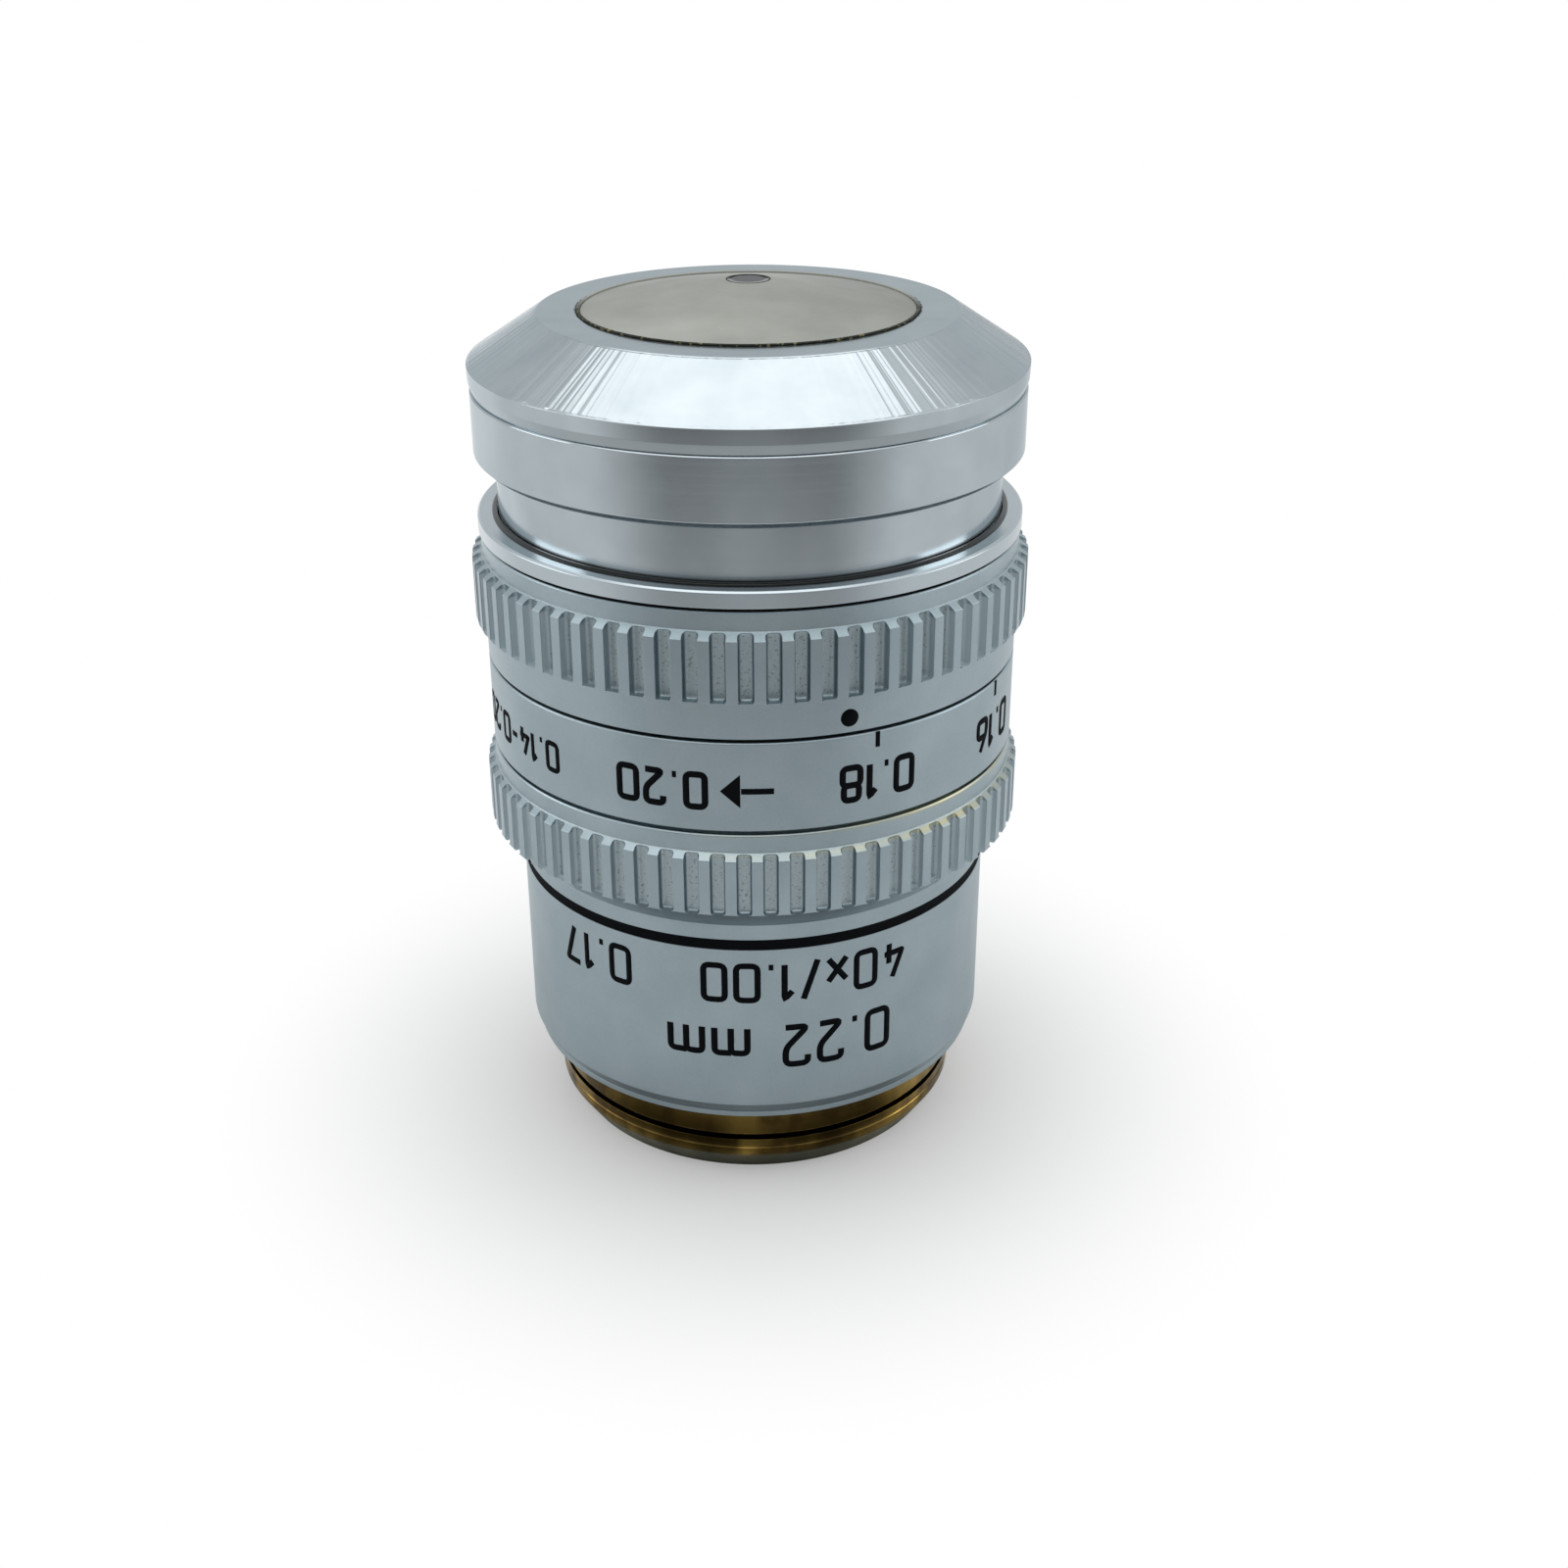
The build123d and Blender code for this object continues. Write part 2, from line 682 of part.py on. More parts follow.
# Correction cell with its pin hole and threaded mouth
slide_front_z = slide_cell_top_z - slide_recess
slide_rear_z = slide_front_z - slide_crown - slide_flint
slide_fall = sag(slide_front_curve * slide_lens_r, slide_lens_r - slide_ring_wall)
slide_ring_z = slide_front_z - slide_fall + lens_gap
slide_mouth_r = slide_lens_r + slide_ring_wall
slide_seat_z = rear_seat(slide_rear_z, slide_rear_curve, slide_lens_r)
follower_root_r = slide_r - follower_root
with BuildPart() as correction_cell:
    turned([
        (slide_lens_r - lens_lip, slide_cell_z),
        (slide_r, slide_cell_z),
        (slide_r, slide_cell_top_z),
        (slide_mouth_r, slide_cell_top_z),
        (slide_mouth_r, slide_ring_z),
        (slide_lens_r + lens_gap, slide_ring_z),
        (slide_lens_r + lens_gap, slide_seat_z),
        (slide_lens_r - lens_lip, slide_seat_z),
    ])
    with BuildSketch(radial_plane(follower_azimuth, follower_z, follower_root_r)):
        Circle(follower_r + lens_gap)
    extrude(amount=2 * follower_root, mode=Mode.SUBTRACT)
write(correction_cell, "correction_cell")

with BuildPart() as correction_lock_ring:
    turned([
        (slide_lens_r - slide_ring_wall, slide_ring_z),
        (slide_mouth_r - seat_gap, slide_ring_z),
        (slide_mouth_r - seat_gap, slide_ring_z + slide_ring_height),
        (slide_lens_r - slide_ring_wall, slide_ring_z + slide_ring_height),
    ])
write(correction_lock_ring, "correction_lock_ring")

# Follower pin: fixed in the correction cell, through the barrel's slot into the helical slot
with BuildPart() as follower_pin:
    with BuildSketch(radial_plane(follower_azimuth, follower_z, follower_root_r + lens_gap)):
        Circle(follower_r)
    extrude(amount=follower_tip_r - follower_root_r - lens_gap)
write(follower_pin, "follower_pin")

# Guide pin: fixed in the guide tube, running in a notch across the lens barrel's land
with BuildPart() as guide_pin:
    with BuildSketch(radial_plane(guide_azimuth, guide_pin_z, tube_bore_r - guide_pin_reach)):
        Circle(guide_pin_r)
    extrude(amount=guide_pin_reach + tube_wall)
write(guide_pin, "guide_pin")

# Return spring between the mount's seat and the land of the lens barrel
spring_r = (tail_r + tube_bore_r) / 2
spring_low_z = spring_seat_z + spring_wire_r + seat_gap
spring_rise = land_z - seat_gap - spring_wire_r - spring_low_z
with BuildPart() as return_spring:
    with BuildLine(Plane.XY.offset(spring_low_z)) as spring_path:
        Helix(spring_rise / spring_turns, spring_rise, spring_r)
    with BuildSketch(Plane.XZ):
        with Locations((spring_r, spring_low_z)):
            Circle(spring_wire_r)
    sweep(path=spring_path.line, is_frenet=True)
write(return_spring, "return_spring")

# Front stack: cemented doublet, spacer and cemented triplet, from the front down
doublet_front_z = stack_top_z - doublet_recess
doublet_joint_z = doublet_front_z - doublet_crown
doublet_rear_z = doublet_joint_z - doublet_flint
with BuildPart() as doublet_cell:
    doublet_seat_z = rear_seat(doublet_rear_z, -doublet_rear_curve, doublet_r)
    cell(front_stack_r, doublet_cell_z, stack_top_z, doublet_r, doublet_seat_z)
write(doublet_cell, "doublet_cell")

with BuildPart() as doublet_front_lens:
    ground(doublet_r, doublet_front_z, doublet_front_curve, doublet_crown, -doublet_joint_curve)
write(doublet_front_lens, "doublet_front_lens")

with BuildPart() as doublet_rear_lens:
    ground(
        doublet_r, doublet_joint_z - lens_gap, -doublet_joint_curve,
        doublet_flint - lens_gap, -doublet_rear_curve,
    )
write(doublet_rear_lens, "doublet_rear_lens")

with BuildPart() as front_spacer:
    turned([
        (front_stack_r - spacer_wall, front_spacer_z),
        (front_stack_r, front_spacer_z),
        (front_stack_r, doublet_cell_z),
        (front_stack_r - spacer_wall, doublet_cell_z),
    ])
write(front_spacer, "front_spacer")

triplet_front_z = front_spacer_z - triplet_recess
triplet_joint_z = triplet_front_z - triplet_crown
triplet_rear_joint_z = triplet_joint_z - triplet_flint
triplet_rear_z = triplet_rear_joint_z - triplet_crown
with BuildPart() as triplet_cell:
    triplet_seat_z = rear_seat(triplet_rear_z, -triplet_outer_curve, triplet_r)
    cell(front_stack_r, triplet_cell_z, front_spacer_z, triplet_r, triplet_seat_z)
write(triplet_cell, "triplet_cell")

with BuildPart() as triplet_front_lens:
    ground(triplet_r, triplet_front_z, triplet_outer_curve, triplet_crown, -triplet_joint_curve)
write(triplet_front_lens, "triplet_front_lens")

with BuildPart() as triplet_middle_lens:
    ground(
        triplet_r, triplet_joint_z - lens_gap, -triplet_joint_curve,
        triplet_flint - lens_gap, triplet_joint_curve,
    )
write(triplet_middle_lens, "triplet_middle_lens")

with BuildPart() as triplet_rear_lens:
    ground(
        triplet_r, triplet_rear_joint_z - lens_gap, triplet_joint_curve,
        triplet_crown - lens_gap, -triplet_outer_curve,
    )
write(triplet_rear_lens, "triplet_rear_lens")

# Moving doublet of the correction cell
slide_joint_z = slide_front_z - slide_crown
with BuildPart() as correction_front_lens:
    ground(slide_lens_r, slide_front_z, slide_front_curve, slide_crown, -slide_joint_curve)
write(correction_front_lens, "correction_front_lens")

with BuildPart() as correction_rear_lens:
    ground(
        slide_lens_r, slide_joint_z - lens_gap, -slide_joint_curve,
        slide_flint - lens_gap, slide_rear_curve,
    )
write(correction_rear_lens, "correction_rear_lens")

# Rear stack: doublet, spacer, rear pair, and the slotted ring that closes the barrel
rear_doublet_front_z = slide_floor_z - rear_doublet_recess
rear_doublet_joint_z = rear_doublet_front_z - rear_doublet_crown
rear_doublet_rear_z = rear_doublet_joint_z - rear_doublet_flint
with BuildPart() as rear_doublet_cell:
    rear_doublet_seat_z = rear_seat(rear_doublet_rear_z, -rear_doublet_rear_curve, rear_doublet_r)
    cell(rear_stack_r, rear_doublet_cell_z, slide_floor_z, rear_doublet_r, rear_doublet_seat_z)
write(rear_doublet_cell, "rear_doublet_cell")

with BuildPart() as rear_doublet_front_lens:
    ground(
        rear_doublet_r, rear_doublet_front_z, rear_doublet_front_curve,
        rear_doublet_crown, -rear_doublet_joint_curve,
    )
write(rear_doublet_front_lens, "rear_doublet_front_lens")

with BuildPart() as rear_doublet_rear_lens:
    ground(
        rear_doublet_r, rear_doublet_joint_z - lens_gap, -rear_doublet_joint_curve,
        rear_doublet_flint - lens_gap, -rear_doublet_rear_curve,
    )
write(rear_doublet_rear_lens, "rear_doublet_rear_lens")

with BuildPart() as rear_spacer:
    turned([
        (rear_stack_r - spacer_wall, rear_spacer_z),
        (rear_stack_r, rear_spacer_z),
        (rear_stack_r, rear_doublet_cell_z),
        (rear_stack_r - spacer_wall, rear_doublet_cell_z),
    ])
write(rear_spacer, "rear_spacer")

rear_pair_front_z = rear_spacer_z - rear_pair_recess
rear_pair_joint_z = rear_pair_front_z - rear_pair_flint
rear_pair_rear_z = rear_pair_joint_z - rear_pair_crown
with BuildPart() as rear_meniscus_cell:
    rear_pair_seat_z = rear_seat(rear_pair_rear_z, -rear_pair_rear_curve, rear_pair_r)
    cell(rear_stack_r, rear_pair_cell_z, rear_spacer_z, rear_pair_r, rear_pair_seat_z)
write(rear_meniscus_cell, "rear_meniscus_cell")

with BuildPart() as rear_meniscus_lens:
    ground(
        rear_pair_r, rear_pair_front_z, -rear_pair_front_curve,
        rear_pair_flint, rear_pair_joint_curve,
    )
write(rear_meniscus_lens, "rear_meniscus_lens")

with BuildPart() as rear_field_lens:
    ground(
        rear_pair_r, rear_pair_joint_z - lens_gap, rear_pair_joint_curve,
        rear_pair_crown - lens_gap, -rear_pair_rear_curve,
    )
write(rear_field_lens, "rear_field_lens")

with BuildPart() as rear_lock_ring:
    turned([
        (rear_stop_r, rear_ring_z),
        (rear_stack_r, rear_ring_z),
        (rear_stack_r, rear_pair_cell_z),
        (rear_stop_r, rear_pair_cell_z),
    ])
    with BuildSketch(Plane.XY.offset(rear_ring_z)):
        Rectangle(4 * rear_stack_r, spanner_slot_width)
    extrude(amount=spanner_slot_depth, mode=Mode.SUBTRACT)
write(rear_lock_ring, "rear_lock_ring")
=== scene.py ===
"""Microscope objective with a correction collar, standing on its mounting thread."""

import json
from math import atan2, ceil, cos, degrees, hypot, pi, radians, sin

import bpy
from mathutils import Matrix


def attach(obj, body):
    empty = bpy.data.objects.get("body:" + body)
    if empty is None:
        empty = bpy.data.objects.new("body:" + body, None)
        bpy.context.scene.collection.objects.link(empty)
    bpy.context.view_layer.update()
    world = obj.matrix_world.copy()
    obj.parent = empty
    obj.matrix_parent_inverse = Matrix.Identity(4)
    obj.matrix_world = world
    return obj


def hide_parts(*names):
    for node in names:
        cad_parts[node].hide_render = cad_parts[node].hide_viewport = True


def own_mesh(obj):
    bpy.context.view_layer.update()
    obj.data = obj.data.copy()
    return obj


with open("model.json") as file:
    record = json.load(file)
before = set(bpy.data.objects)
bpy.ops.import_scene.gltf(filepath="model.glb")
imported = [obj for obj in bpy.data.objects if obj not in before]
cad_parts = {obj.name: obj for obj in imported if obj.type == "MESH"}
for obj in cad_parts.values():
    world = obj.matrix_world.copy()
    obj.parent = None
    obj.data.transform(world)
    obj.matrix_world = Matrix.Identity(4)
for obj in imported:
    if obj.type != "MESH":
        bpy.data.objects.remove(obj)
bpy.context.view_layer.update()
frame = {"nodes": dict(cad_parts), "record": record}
bpy.context.scene.view_settings.view_transform = "Standard"

# Camera: a close-up from in front and above, on the side where the index dot stands.
# Its aim is a pitch down, a slight turn to the right and a hair of roll.
bpy.ops.object.select_all(action="DESELECT")
bpy.ops.object.camera_add(location=(0, -0.10929, 0.07294))
camera = bpy.context.object
camera.name = "camera"
camera.data.sensor_width = 36
camera.data.lens = 45.235
camera.data.clip_start = 0.005
pitch_down = Matrix.Rotation(radians(90 - 25.819), 3, "X")
turn_right = Matrix.Rotation(radians(-0.997), 3, "Z")
roll_over = Matrix.Rotation(radians(-0.121), 3, "Z")
camera.rotation_euler = (turn_right @ pitch_down @ roll_over).to_euler()
bpy.context.scene.camera = camera


# Floor and light tent: a white table in a white tent that is brightest overhead, with a broad soft lamp
# above and one on each side. A dark cloth fans out in front, where the photographer stands, and close
# round the foot it is a painted shadow that the metal mirrors.


class Wire:
    """One socket of a finish's nodes. Arithmetic on wires adds Math nodes."""

    def __init__(self, tree, socket=None):
        self.tree = tree
        self.socket = socket

    def node(self, kind, settings, sockets, output=0):
        """Add a node: its settings first, then a value or a wire for each socket."""
        made = self.tree.nodes.new("ShaderNode" + kind)
        for name, value in settings.items():
            if name == "stops":
                ramp = made.color_ramp.elements
                while len(ramp) < len(value):
                    ramp.new(1)
                for stop, (place, shade) in zip(ramp, value):
                    stop.position = place
                    stop.color = (*shade, 1)
            else:
                setattr(made, name, value)
        for name, value in sockets.items():
            if isinstance(value, Wire):
                self.tree.links.new(value.socket, made.inputs[name])
            else:
                made.inputs[name].default_value = value
        return Wire(self.tree, made.outputs[output])

    def maths(self, operation, first, second=0.0, clamp=False):
        settings = {"operation": operation, "use_clamp": clamp}
        return self.node("Math", settings, {0: first, 1: second})

    def held(self, gain):
        """This wire times a gain, held between 0 and 1."""
        return self.maths("MULTIPLY", self, gain, clamp=True)

    def mixed(self, share, base, over):
        """A base colour with a share of another over it."""
        return self.node("Mix", {"data_type": "RGBA"}, {0: share, 6: base, 7: over}, 2)

    def eased(self, start, end, first=0.0, last=1.0):
        """A smooth step of this wire between two of its values."""
        return self.node("MapRange", {"interpolation_type": "SMOOTHSTEP"}, {
            "Value": self, "From Min": start, "From Max": end, "To Min": first, "To Max": last})

    def __add__(self, other):
        return self.maths("ADD", self, other)

    def __radd__(self, other):
        return self.maths("ADD", other, self)

    def __sub__(self, other):
        return self.maths("SUBTRACT", self, other)

    def __rsub__(self, other):
        return self.maths("SUBTRACT", other, self)

    def __mul__(self, other):
        return self.maths("MULTIPLY", self, other)

    def __rmul__(self, other):
        return self.maths("MULTIPLY", other, self)

    def __pow__(self, other):
        return self.maths("POWER", self, other)


def spot(wires):
    """A point's place east, north and up, and its distance from the axis."""
    place = wires.node("TexCoord", {}, {}, "Object")
    east, north, up = [wires.node("SeparateXYZ", {}, {"Vector": place}, axis) for axis in "XYZ"]
    return east, north, up, (east * east + north * north) ** 0.5


bpy.ops.object.select_all(action="DESELECT")
bpy.ops.mesh.primitive_plane_add(size=6)
table = bpy.context.object
table.name = "table"
table_white = bpy.data.materials.new("table_white")
table_white.use_nodes = True
table_paper = table_white.node_tree.nodes["Principled BSDF"]
table_paper.inputs["Base Color"].default_value = (0.72, 0.72, 0.72, 1)
table_paper.inputs["Roughness"].default_value = 0.9
table_paper.inputs["Specular IOR Level"].default_value = 0.1
table_wires = Wire(table_white.node_tree)
table_east, table_north, _, table_reach = spot(table_wires)
table_far = table_reach.eased(0.012, 0.036, first=0.3)
table_turn = table_wires.maths("ARCTAN2", table_north, table_wires.maths("ABSOLUTE", table_east))
table_behind = table_turn.eased(radians(12), radians(48))
table_left = table_wires.maths("SUBTRACT", 0.5, 4.0 * table_east, clamp=True)
table_mirrored = table_wires.node("LightPath", {}, {}, "Is Glossy Ray") * table_behind * table_left
table_through = table_wires.node("LightPath", {}, {}, "Is Transmission Ray")
table_looked_at = table_wires.node("LightPath", {}, {}, "Is Camera Ray") + table_through + table_mirrored
table_glow = table_wires.node("Emission", {}, {"Color": (1, 1, 1, 1), "Strength": 1.0})
table_seen = table_wires.node("MixShader", {}, {
    0: table_far * table_looked_at, 1: Wire(table_white.node_tree, table_paper.outputs[0]),
    2: table_glow})
table_out = table_white.node_tree.nodes["Material Output"].inputs["Surface"]
table_white.node_tree.links.new(table_seen.socket, table_out)
table.data.materials.append(table_white)

bpy.ops.mesh.primitive_plane_add(size=1)
front_cloth_and_shadow = bpy.context.object
front_cloth_and_shadow.name = "front_cloth_and_shadow"
bpy.ops.object.mode_set(mode="EDIT")
bpy.ops.transform.resize(value=(0.8, 0.4, 1), center_override=(0, 0, 0))
bpy.ops.transform.translate(value=(0, -0.2, 0.0003))
bpy.ops.object.mode_set(mode="OBJECT")
dark_cloth_and_shadow = bpy.data.materials.new("dark_cloth_and_shadow")
dark_cloth_and_shadow.use_nodes = True
cloth_weave = dark_cloth_and_shadow.node_tree.nodes["Principled BSDF"]
cloth_weave.inputs["Base Color"].default_value = (0.02, 0.02, 0.022, 1)
cloth_weave.inputs["Roughness"].default_value = 0.9
cloth_weave.inputs["Specular IOR Level"].default_value = 0.1
cloth_wires = Wire(dark_cloth_and_shadow.node_tree)
cloth_east, cloth_north, _, cloth_reach = spot(cloth_wires)
cloth_side = cloth_wires.maths("ABSOLUTE", cloth_wires.maths("ARCTAN2", cloth_east, 0.0 - cloth_north))
cloth_foot_shadow = (0.023 - cloth_reach).held(250.0)
cloth_left = cloth_east.held(-200.0)
cloth_fan = cloth_side.eased(
    radians(28) + radians(12) * cloth_foot_shadow,
    radians(68) + (radians(2) + radians(12) * cloth_left) * cloth_foot_shadow, first=1.0, last=0.0)
cloth_parting = cloth_side.eased(radians(4), radians(20), first=0.85)
# Close to the foot, up to about 21 mm out, the cover is a painted shadow: it stands in for the table's
# shade round the foot as the metal mirrors it. Farther out it is the dark cloth.
cloth_cover = cloth_wires.node("ValToRGB", {"stops": [(place, (cover, cover, cover)) for place, cover in (
    (0.062, 0.0), (0.068, 0.12), (0.073, 0.75), (0.078, 1.0), (0.09, 0.86), (0.106, 0.08), (0.18, 0.02),
    (0.3, 0.06), (0.36, 0.41), (0.43, 0.29), (0.5, 0.48), (0.58, 0.49), (0.62, 0.38), (0.67, 0.37),
    (0.71, 0.66), (0.77, 0.74))]}, {"Fac": cloth_reach * 5.0})
cloth_dark = cloth_wires.node("SeparateColor", {}, {"Color": cloth_cover}, "Red")
cloth_clear = cloth_wires.node("BsdfTransparent", {}, {})
cloth_seen = cloth_wires.node("MixShader", {}, {
    0: cloth_fan * cloth_parting * cloth_dark, 1: cloth_clear,
    2: Wire(dark_cloth_and_shadow.node_tree, cloth_weave.outputs[0])})
cloth_out = dark_cloth_and_shadow.node_tree.nodes["Material Output"].inputs["Surface"]
dark_cloth_and_shadow.node_tree.links.new(cloth_seen.socket, cloth_out)
front_cloth_and_shadow.data.materials.append(dark_cloth_and_shadow)
front_cloth_and_shadow.visible_camera = False
front_cloth_and_shadow.visible_diffuse = False
front_cloth_and_shadow.visible_shadow = False
front_cloth_and_shadow.visible_transmission = False

tent = bpy.data.worlds.new("tent")
tent.use_nodes = True
bpy.context.scene.world = tent
tent_wires = Wire(tent.node_tree)
tent_way = tent_wires.node("TexCoord", {}, {}, "Generated")
tent_up = tent_wires.node("SeparateXYZ", {}, {"Vector": tent_way}, "Z")
tent_back = tent_wires.node("SeparateXYZ", {}, {"Vector": tent_way}, "Y")
tent_cloth = tent_wires.node("ValToRGB", {"stops": [
    (0.0, (0.7, 0.72, 0.73)), (0.3, (0.66, 0.68, 0.69)), (0.55, (0.62, 0.64, 0.65)),
    (0.7, (0.72, 0.74, 0.75)), (0.8, (0.98, 1.0, 1.0)), (0.9, (1.02, 1.04, 1.04)),
    (1.0, (1.05, 1.07, 1.07))]}, {"Fac": tent_up})
tent_mouth = (0.0 - tent_back).eased(0.3, 0.95, last=0.75)
tent_shade = tent_wires.mixed(tent_mouth, tent_cloth, (0.14, 0.145, 0.15, 1))
seen_directly = tent_wires.node("LightPath", {}, {}, "Is Camera Ray")
tent_seen = tent_wires.mixed(seen_directly, tent_shade, (1, 1, 1, 1))
tent.node_tree.links.new(tent_seen.socket, tent.node_tree.nodes["Background"].inputs["Color"])

for lamp_name, place, aim, width, power in (
    ("lamp_over", (-0.025, 0.04, 0.5), (0, 0, 0.03), 0.62, 0.55),
    ("lamp_left", (-0.5, 0.05, 0.25), (0, 0, 0.03), 0.3, 0.38),
    ("lamp_right", (0.5, 0.05, 0.25), (0, 0, 0.03), 0.3, 0.38),
):
    bpy.ops.object.light_add(type="AREA", location=place)
    lamp = bpy.context.object
    lamp.name = lamp_name
    lamp.data.shape = "DISK"
    lamp.data.size = width
    lamp.data.energy = power
    toward = [b - a for a, b in zip(place, aim)]
    tilt = atan2(hypot(toward[0], toward[1]), -toward[2])
    lamp.rotation_euler = (tilt, 0, atan2(-toward[0], toward[1]))


# Mount body: brass, turned in one piece with its thread end, its shoulder and the guide tube.
# The thread is short, with a run-out groove above one and a half turns, and a bevelled end.
mm = 0.001


def lathe(name, steps, soft=0.03, segments=240):
    """Turn a ring from (radius, height) steps in mm: a circle, extruded and resized step by step."""
    bpy.ops.object.select_all(action="DESELECT")
    bpy.ops.mesh.primitive_circle_add(vertices=segments, radius=steps[0][0] * mm)
    piece = bpy.context.object
    piece.name = name
    piece.data.name = name
    bpy.ops.object.mode_set(mode="EDIT")
    bpy.ops.mesh.select_all(action="SELECT")
    bpy.ops.transform.translate(value=(0, 0, steps[0][1] * mm))
    for (near_r, near_z), (far_r, far_z) in zip(steps, [*steps[1:], steps[0]]):
        bpy.ops.mesh.extrude_region_move(TRANSFORM_OT_translate={"value": (0, 0, (far_z - near_z) * mm)})
        grow = far_r / near_r
        bpy.ops.transform.resize(value=(grow, grow, 1), center_override=(0, 0, 0))
    bpy.ops.mesh.select_all(action="SELECT")
    bpy.ops.mesh.remove_doubles(threshold=0.002 * mm)
    bpy.ops.mesh.normals_make_consistent(inside=False)
    bpy.ops.object.mode_set(mode="OBJECT")
    if soft:
        soften(piece, soft)
    return piece


def soften(piece, width):
    """Break the sharp edges of a piece by a width in mm, and shade what is round as round."""
    bpy.context.view_layer.objects.active = piece
    piece.select_set(True)
    edges = piece.modifiers.new("edges", "BEVEL")
    edges.width = width * mm
    edges.segments = 2
    edges.limit_method = "ANGLE"
    edges.angle_limit = radians(10)
    edges.use_clamp_overlap = False
    bpy.ops.object.modifier_apply(modifier=edges.name)
    bpy.ops.object.shade_smooth_by_angle(angle=radians(6))


def cut(piece, cutter):
    """Take a cutter's shape out of a piece and drop the cutter."""
    bpy.ops.object.select_all(action="DESELECT")
    bpy.context.view_layer.objects.active = piece
    piece.select_set(True)
    tool = piece.modifiers.new("cut", "BOOLEAN")
    tool.object = cutter
    tool.solver = "EXACT"
    bpy.ops.object.modifier_apply(modifier=tool.name)
    bpy.data.objects.remove(cutter)


def finish(name, wires_for, **fixed):
    """Make a metal, paint or glass: fixed values on the shader and the wires that vary over it."""
    made = bpy.data.materials.new(name)
    made.use_nodes = True
    shader = made.node_tree.nodes["Principled BSDF"]
    for socket, value in fixed.items():
        shader.inputs[socket.replace("_", " ")].default_value = value
    for socket, wire in wires_for(Wire(made.node_tree)).items():
        made.node_tree.links.new(wire.socket, shader.inputs[socket])
    return made


def turning(wires, fineness):
    """Tool lines that run round the axis: noise on radius and height alone."""
    _, _, up, out = spot(wires)
    across = wires.node("CombineXYZ", {}, {"X": out * fineness, "Y": up * fineness})
    noise = {"Vector": across, "Scale": 1.0, "Detail": 3.0, "Roughness": 0.6}
    return wires.node("TexNoise", {}, noise, "Fac")


def grain(wires, fineness, detail=3.0):
    """Even noise over a surface, in grains per metre."""
    place = wires.node("TexCoord", {}, {}, "Object")
    return wires.node("TexNoise", {}, {"Vector": place, "Scale": fineness, "Detail": detail}, "Fac")


def streaks(wires, count):
    """Noise that changes only round the axis, in grains per radian."""
    east, north, _, _ = spot(wires)
    around = wires.maths("ARCTAN2", east, 0.0 - north)
    noise = {"W": around * count, "Scale": 1.0, "Detail": 2.0}
    return wires.node("TexNoise", {"noise_dimensions": "1D"}, noise, "Fac")


def brass_wires(wires):
    lines = turning(wires, 9000)
    _, north, up, out = spot(wires)
    stain = 0.5 * grain(wires, 420, 5.0) + 0.5 * streaks(wires, 4.0)
    dull = (stain - 0.4).held(6.0)
    end = (1.5 * mm - up).held(5000.0)
    # Painted shade: the run-out groove and the fine thread line are painted near black, as the shade that
    # lies in them.
    sunk = (12.48 * mm - out).held(20000.0)
    groove = sunk * (up - 1.7 * mm).held(20000.0)
    # Painted shade: the front of the thread below 2.6 mm is painted dark brown, for the shade the metal
    # mirrors from the table close in front. The gold shows through in patches.
    front_shade_and_wear = (0.0 - north - 9 * mm).held(300.0)
    front_shade_and_wear = front_shade_and_wear * (2.6 * mm - up).held(20000.0)
    patches = (grain(wires, 260, 2.0) - 0.54).held(9.0)
    gold = wires.mixed(dull, (0.52, 0.34, 0.085, 1), (0.13, 0.08, 0.022, 1))
    front_painted_shade = wires.mixed(front_shade_and_wear * (0.8 - 0.8 * patches), gold, (0.035, 0.022, 0.006, 1))
    darkened = wires.mixed(groove * 0.85, front_painted_shade, (0.02, 0.016, 0.008, 1))
    colour = wires.mixed(end * 0.8, darkened, (0.12, 0.13, 0.09, 1))
    bump = wires.node("Bump", {}, {"Height": lines, "Strength": 0.12, "Distance": 0.02 * mm}, "Normal")
    return {"Base Color": colour, "Roughness": 0.1 + 0.16 * dull + 0.18 * end, "Normal": bump}


brass = finish("turned_brass", brass_wires, Metallic=1.0, Anisotropic=0.5, Anisotropic_Rotation=0.25)

mount = lathe("mount", [
    (10.3, 0), (11.6, 0), (12.5, 1.35), (12.5, 1.88), (12.42, 1.95), (12.5, 2.02), (12.5, 2.5),
    (12.0, 2.5), (12.0, 2.9), (12.5, 2.9), (12.5, 5.1), (13.8, 5.1), (13.8, 5.46), (13.05, 5.46),
    (13.05, 35.27), (12.0, 35.27), (12.0, 6.2), (10.3, 6.2),
], soft=0)
bpy.ops.object.select_all(action="DESELECT")
bpy.ops.mesh.primitive_plane_add(size=1)
key_window = bpy.context.object
window_start = -70.7 + 180 - 40 - degrees(0.95 / 12.0)
window_swing = 125 + 2 * degrees(0.95 / 12.0)
bpy.ops.object.mode_set(mode="EDIT")
bpy.ops.mesh.select_all(action="SELECT")
bpy.ops.transform.resize(value=(3.15 * mm, 1.9 * mm, 1), center_override=(0, 0, 0))
bpy.ops.object.mode_set(mode="OBJECT")
key_window.data.transform(
    Matrix.Rotation(radians(window_start), 4, "Z")
    @ Matrix.Translation((12.525 * mm, 0, 31.22 * mm)) @ Matrix.Rotation(radians(90), 4, "X"))
bpy.ops.object.mode_set(mode="EDIT")
bpy.ops.mesh.select_all(action="SELECT")
bpy.ops.mesh.spin(steps=48, angle=radians(window_swing), center=(0, 0, 0), axis=(0, 0, 1))
bpy.ops.mesh.select_all(action="SELECT")
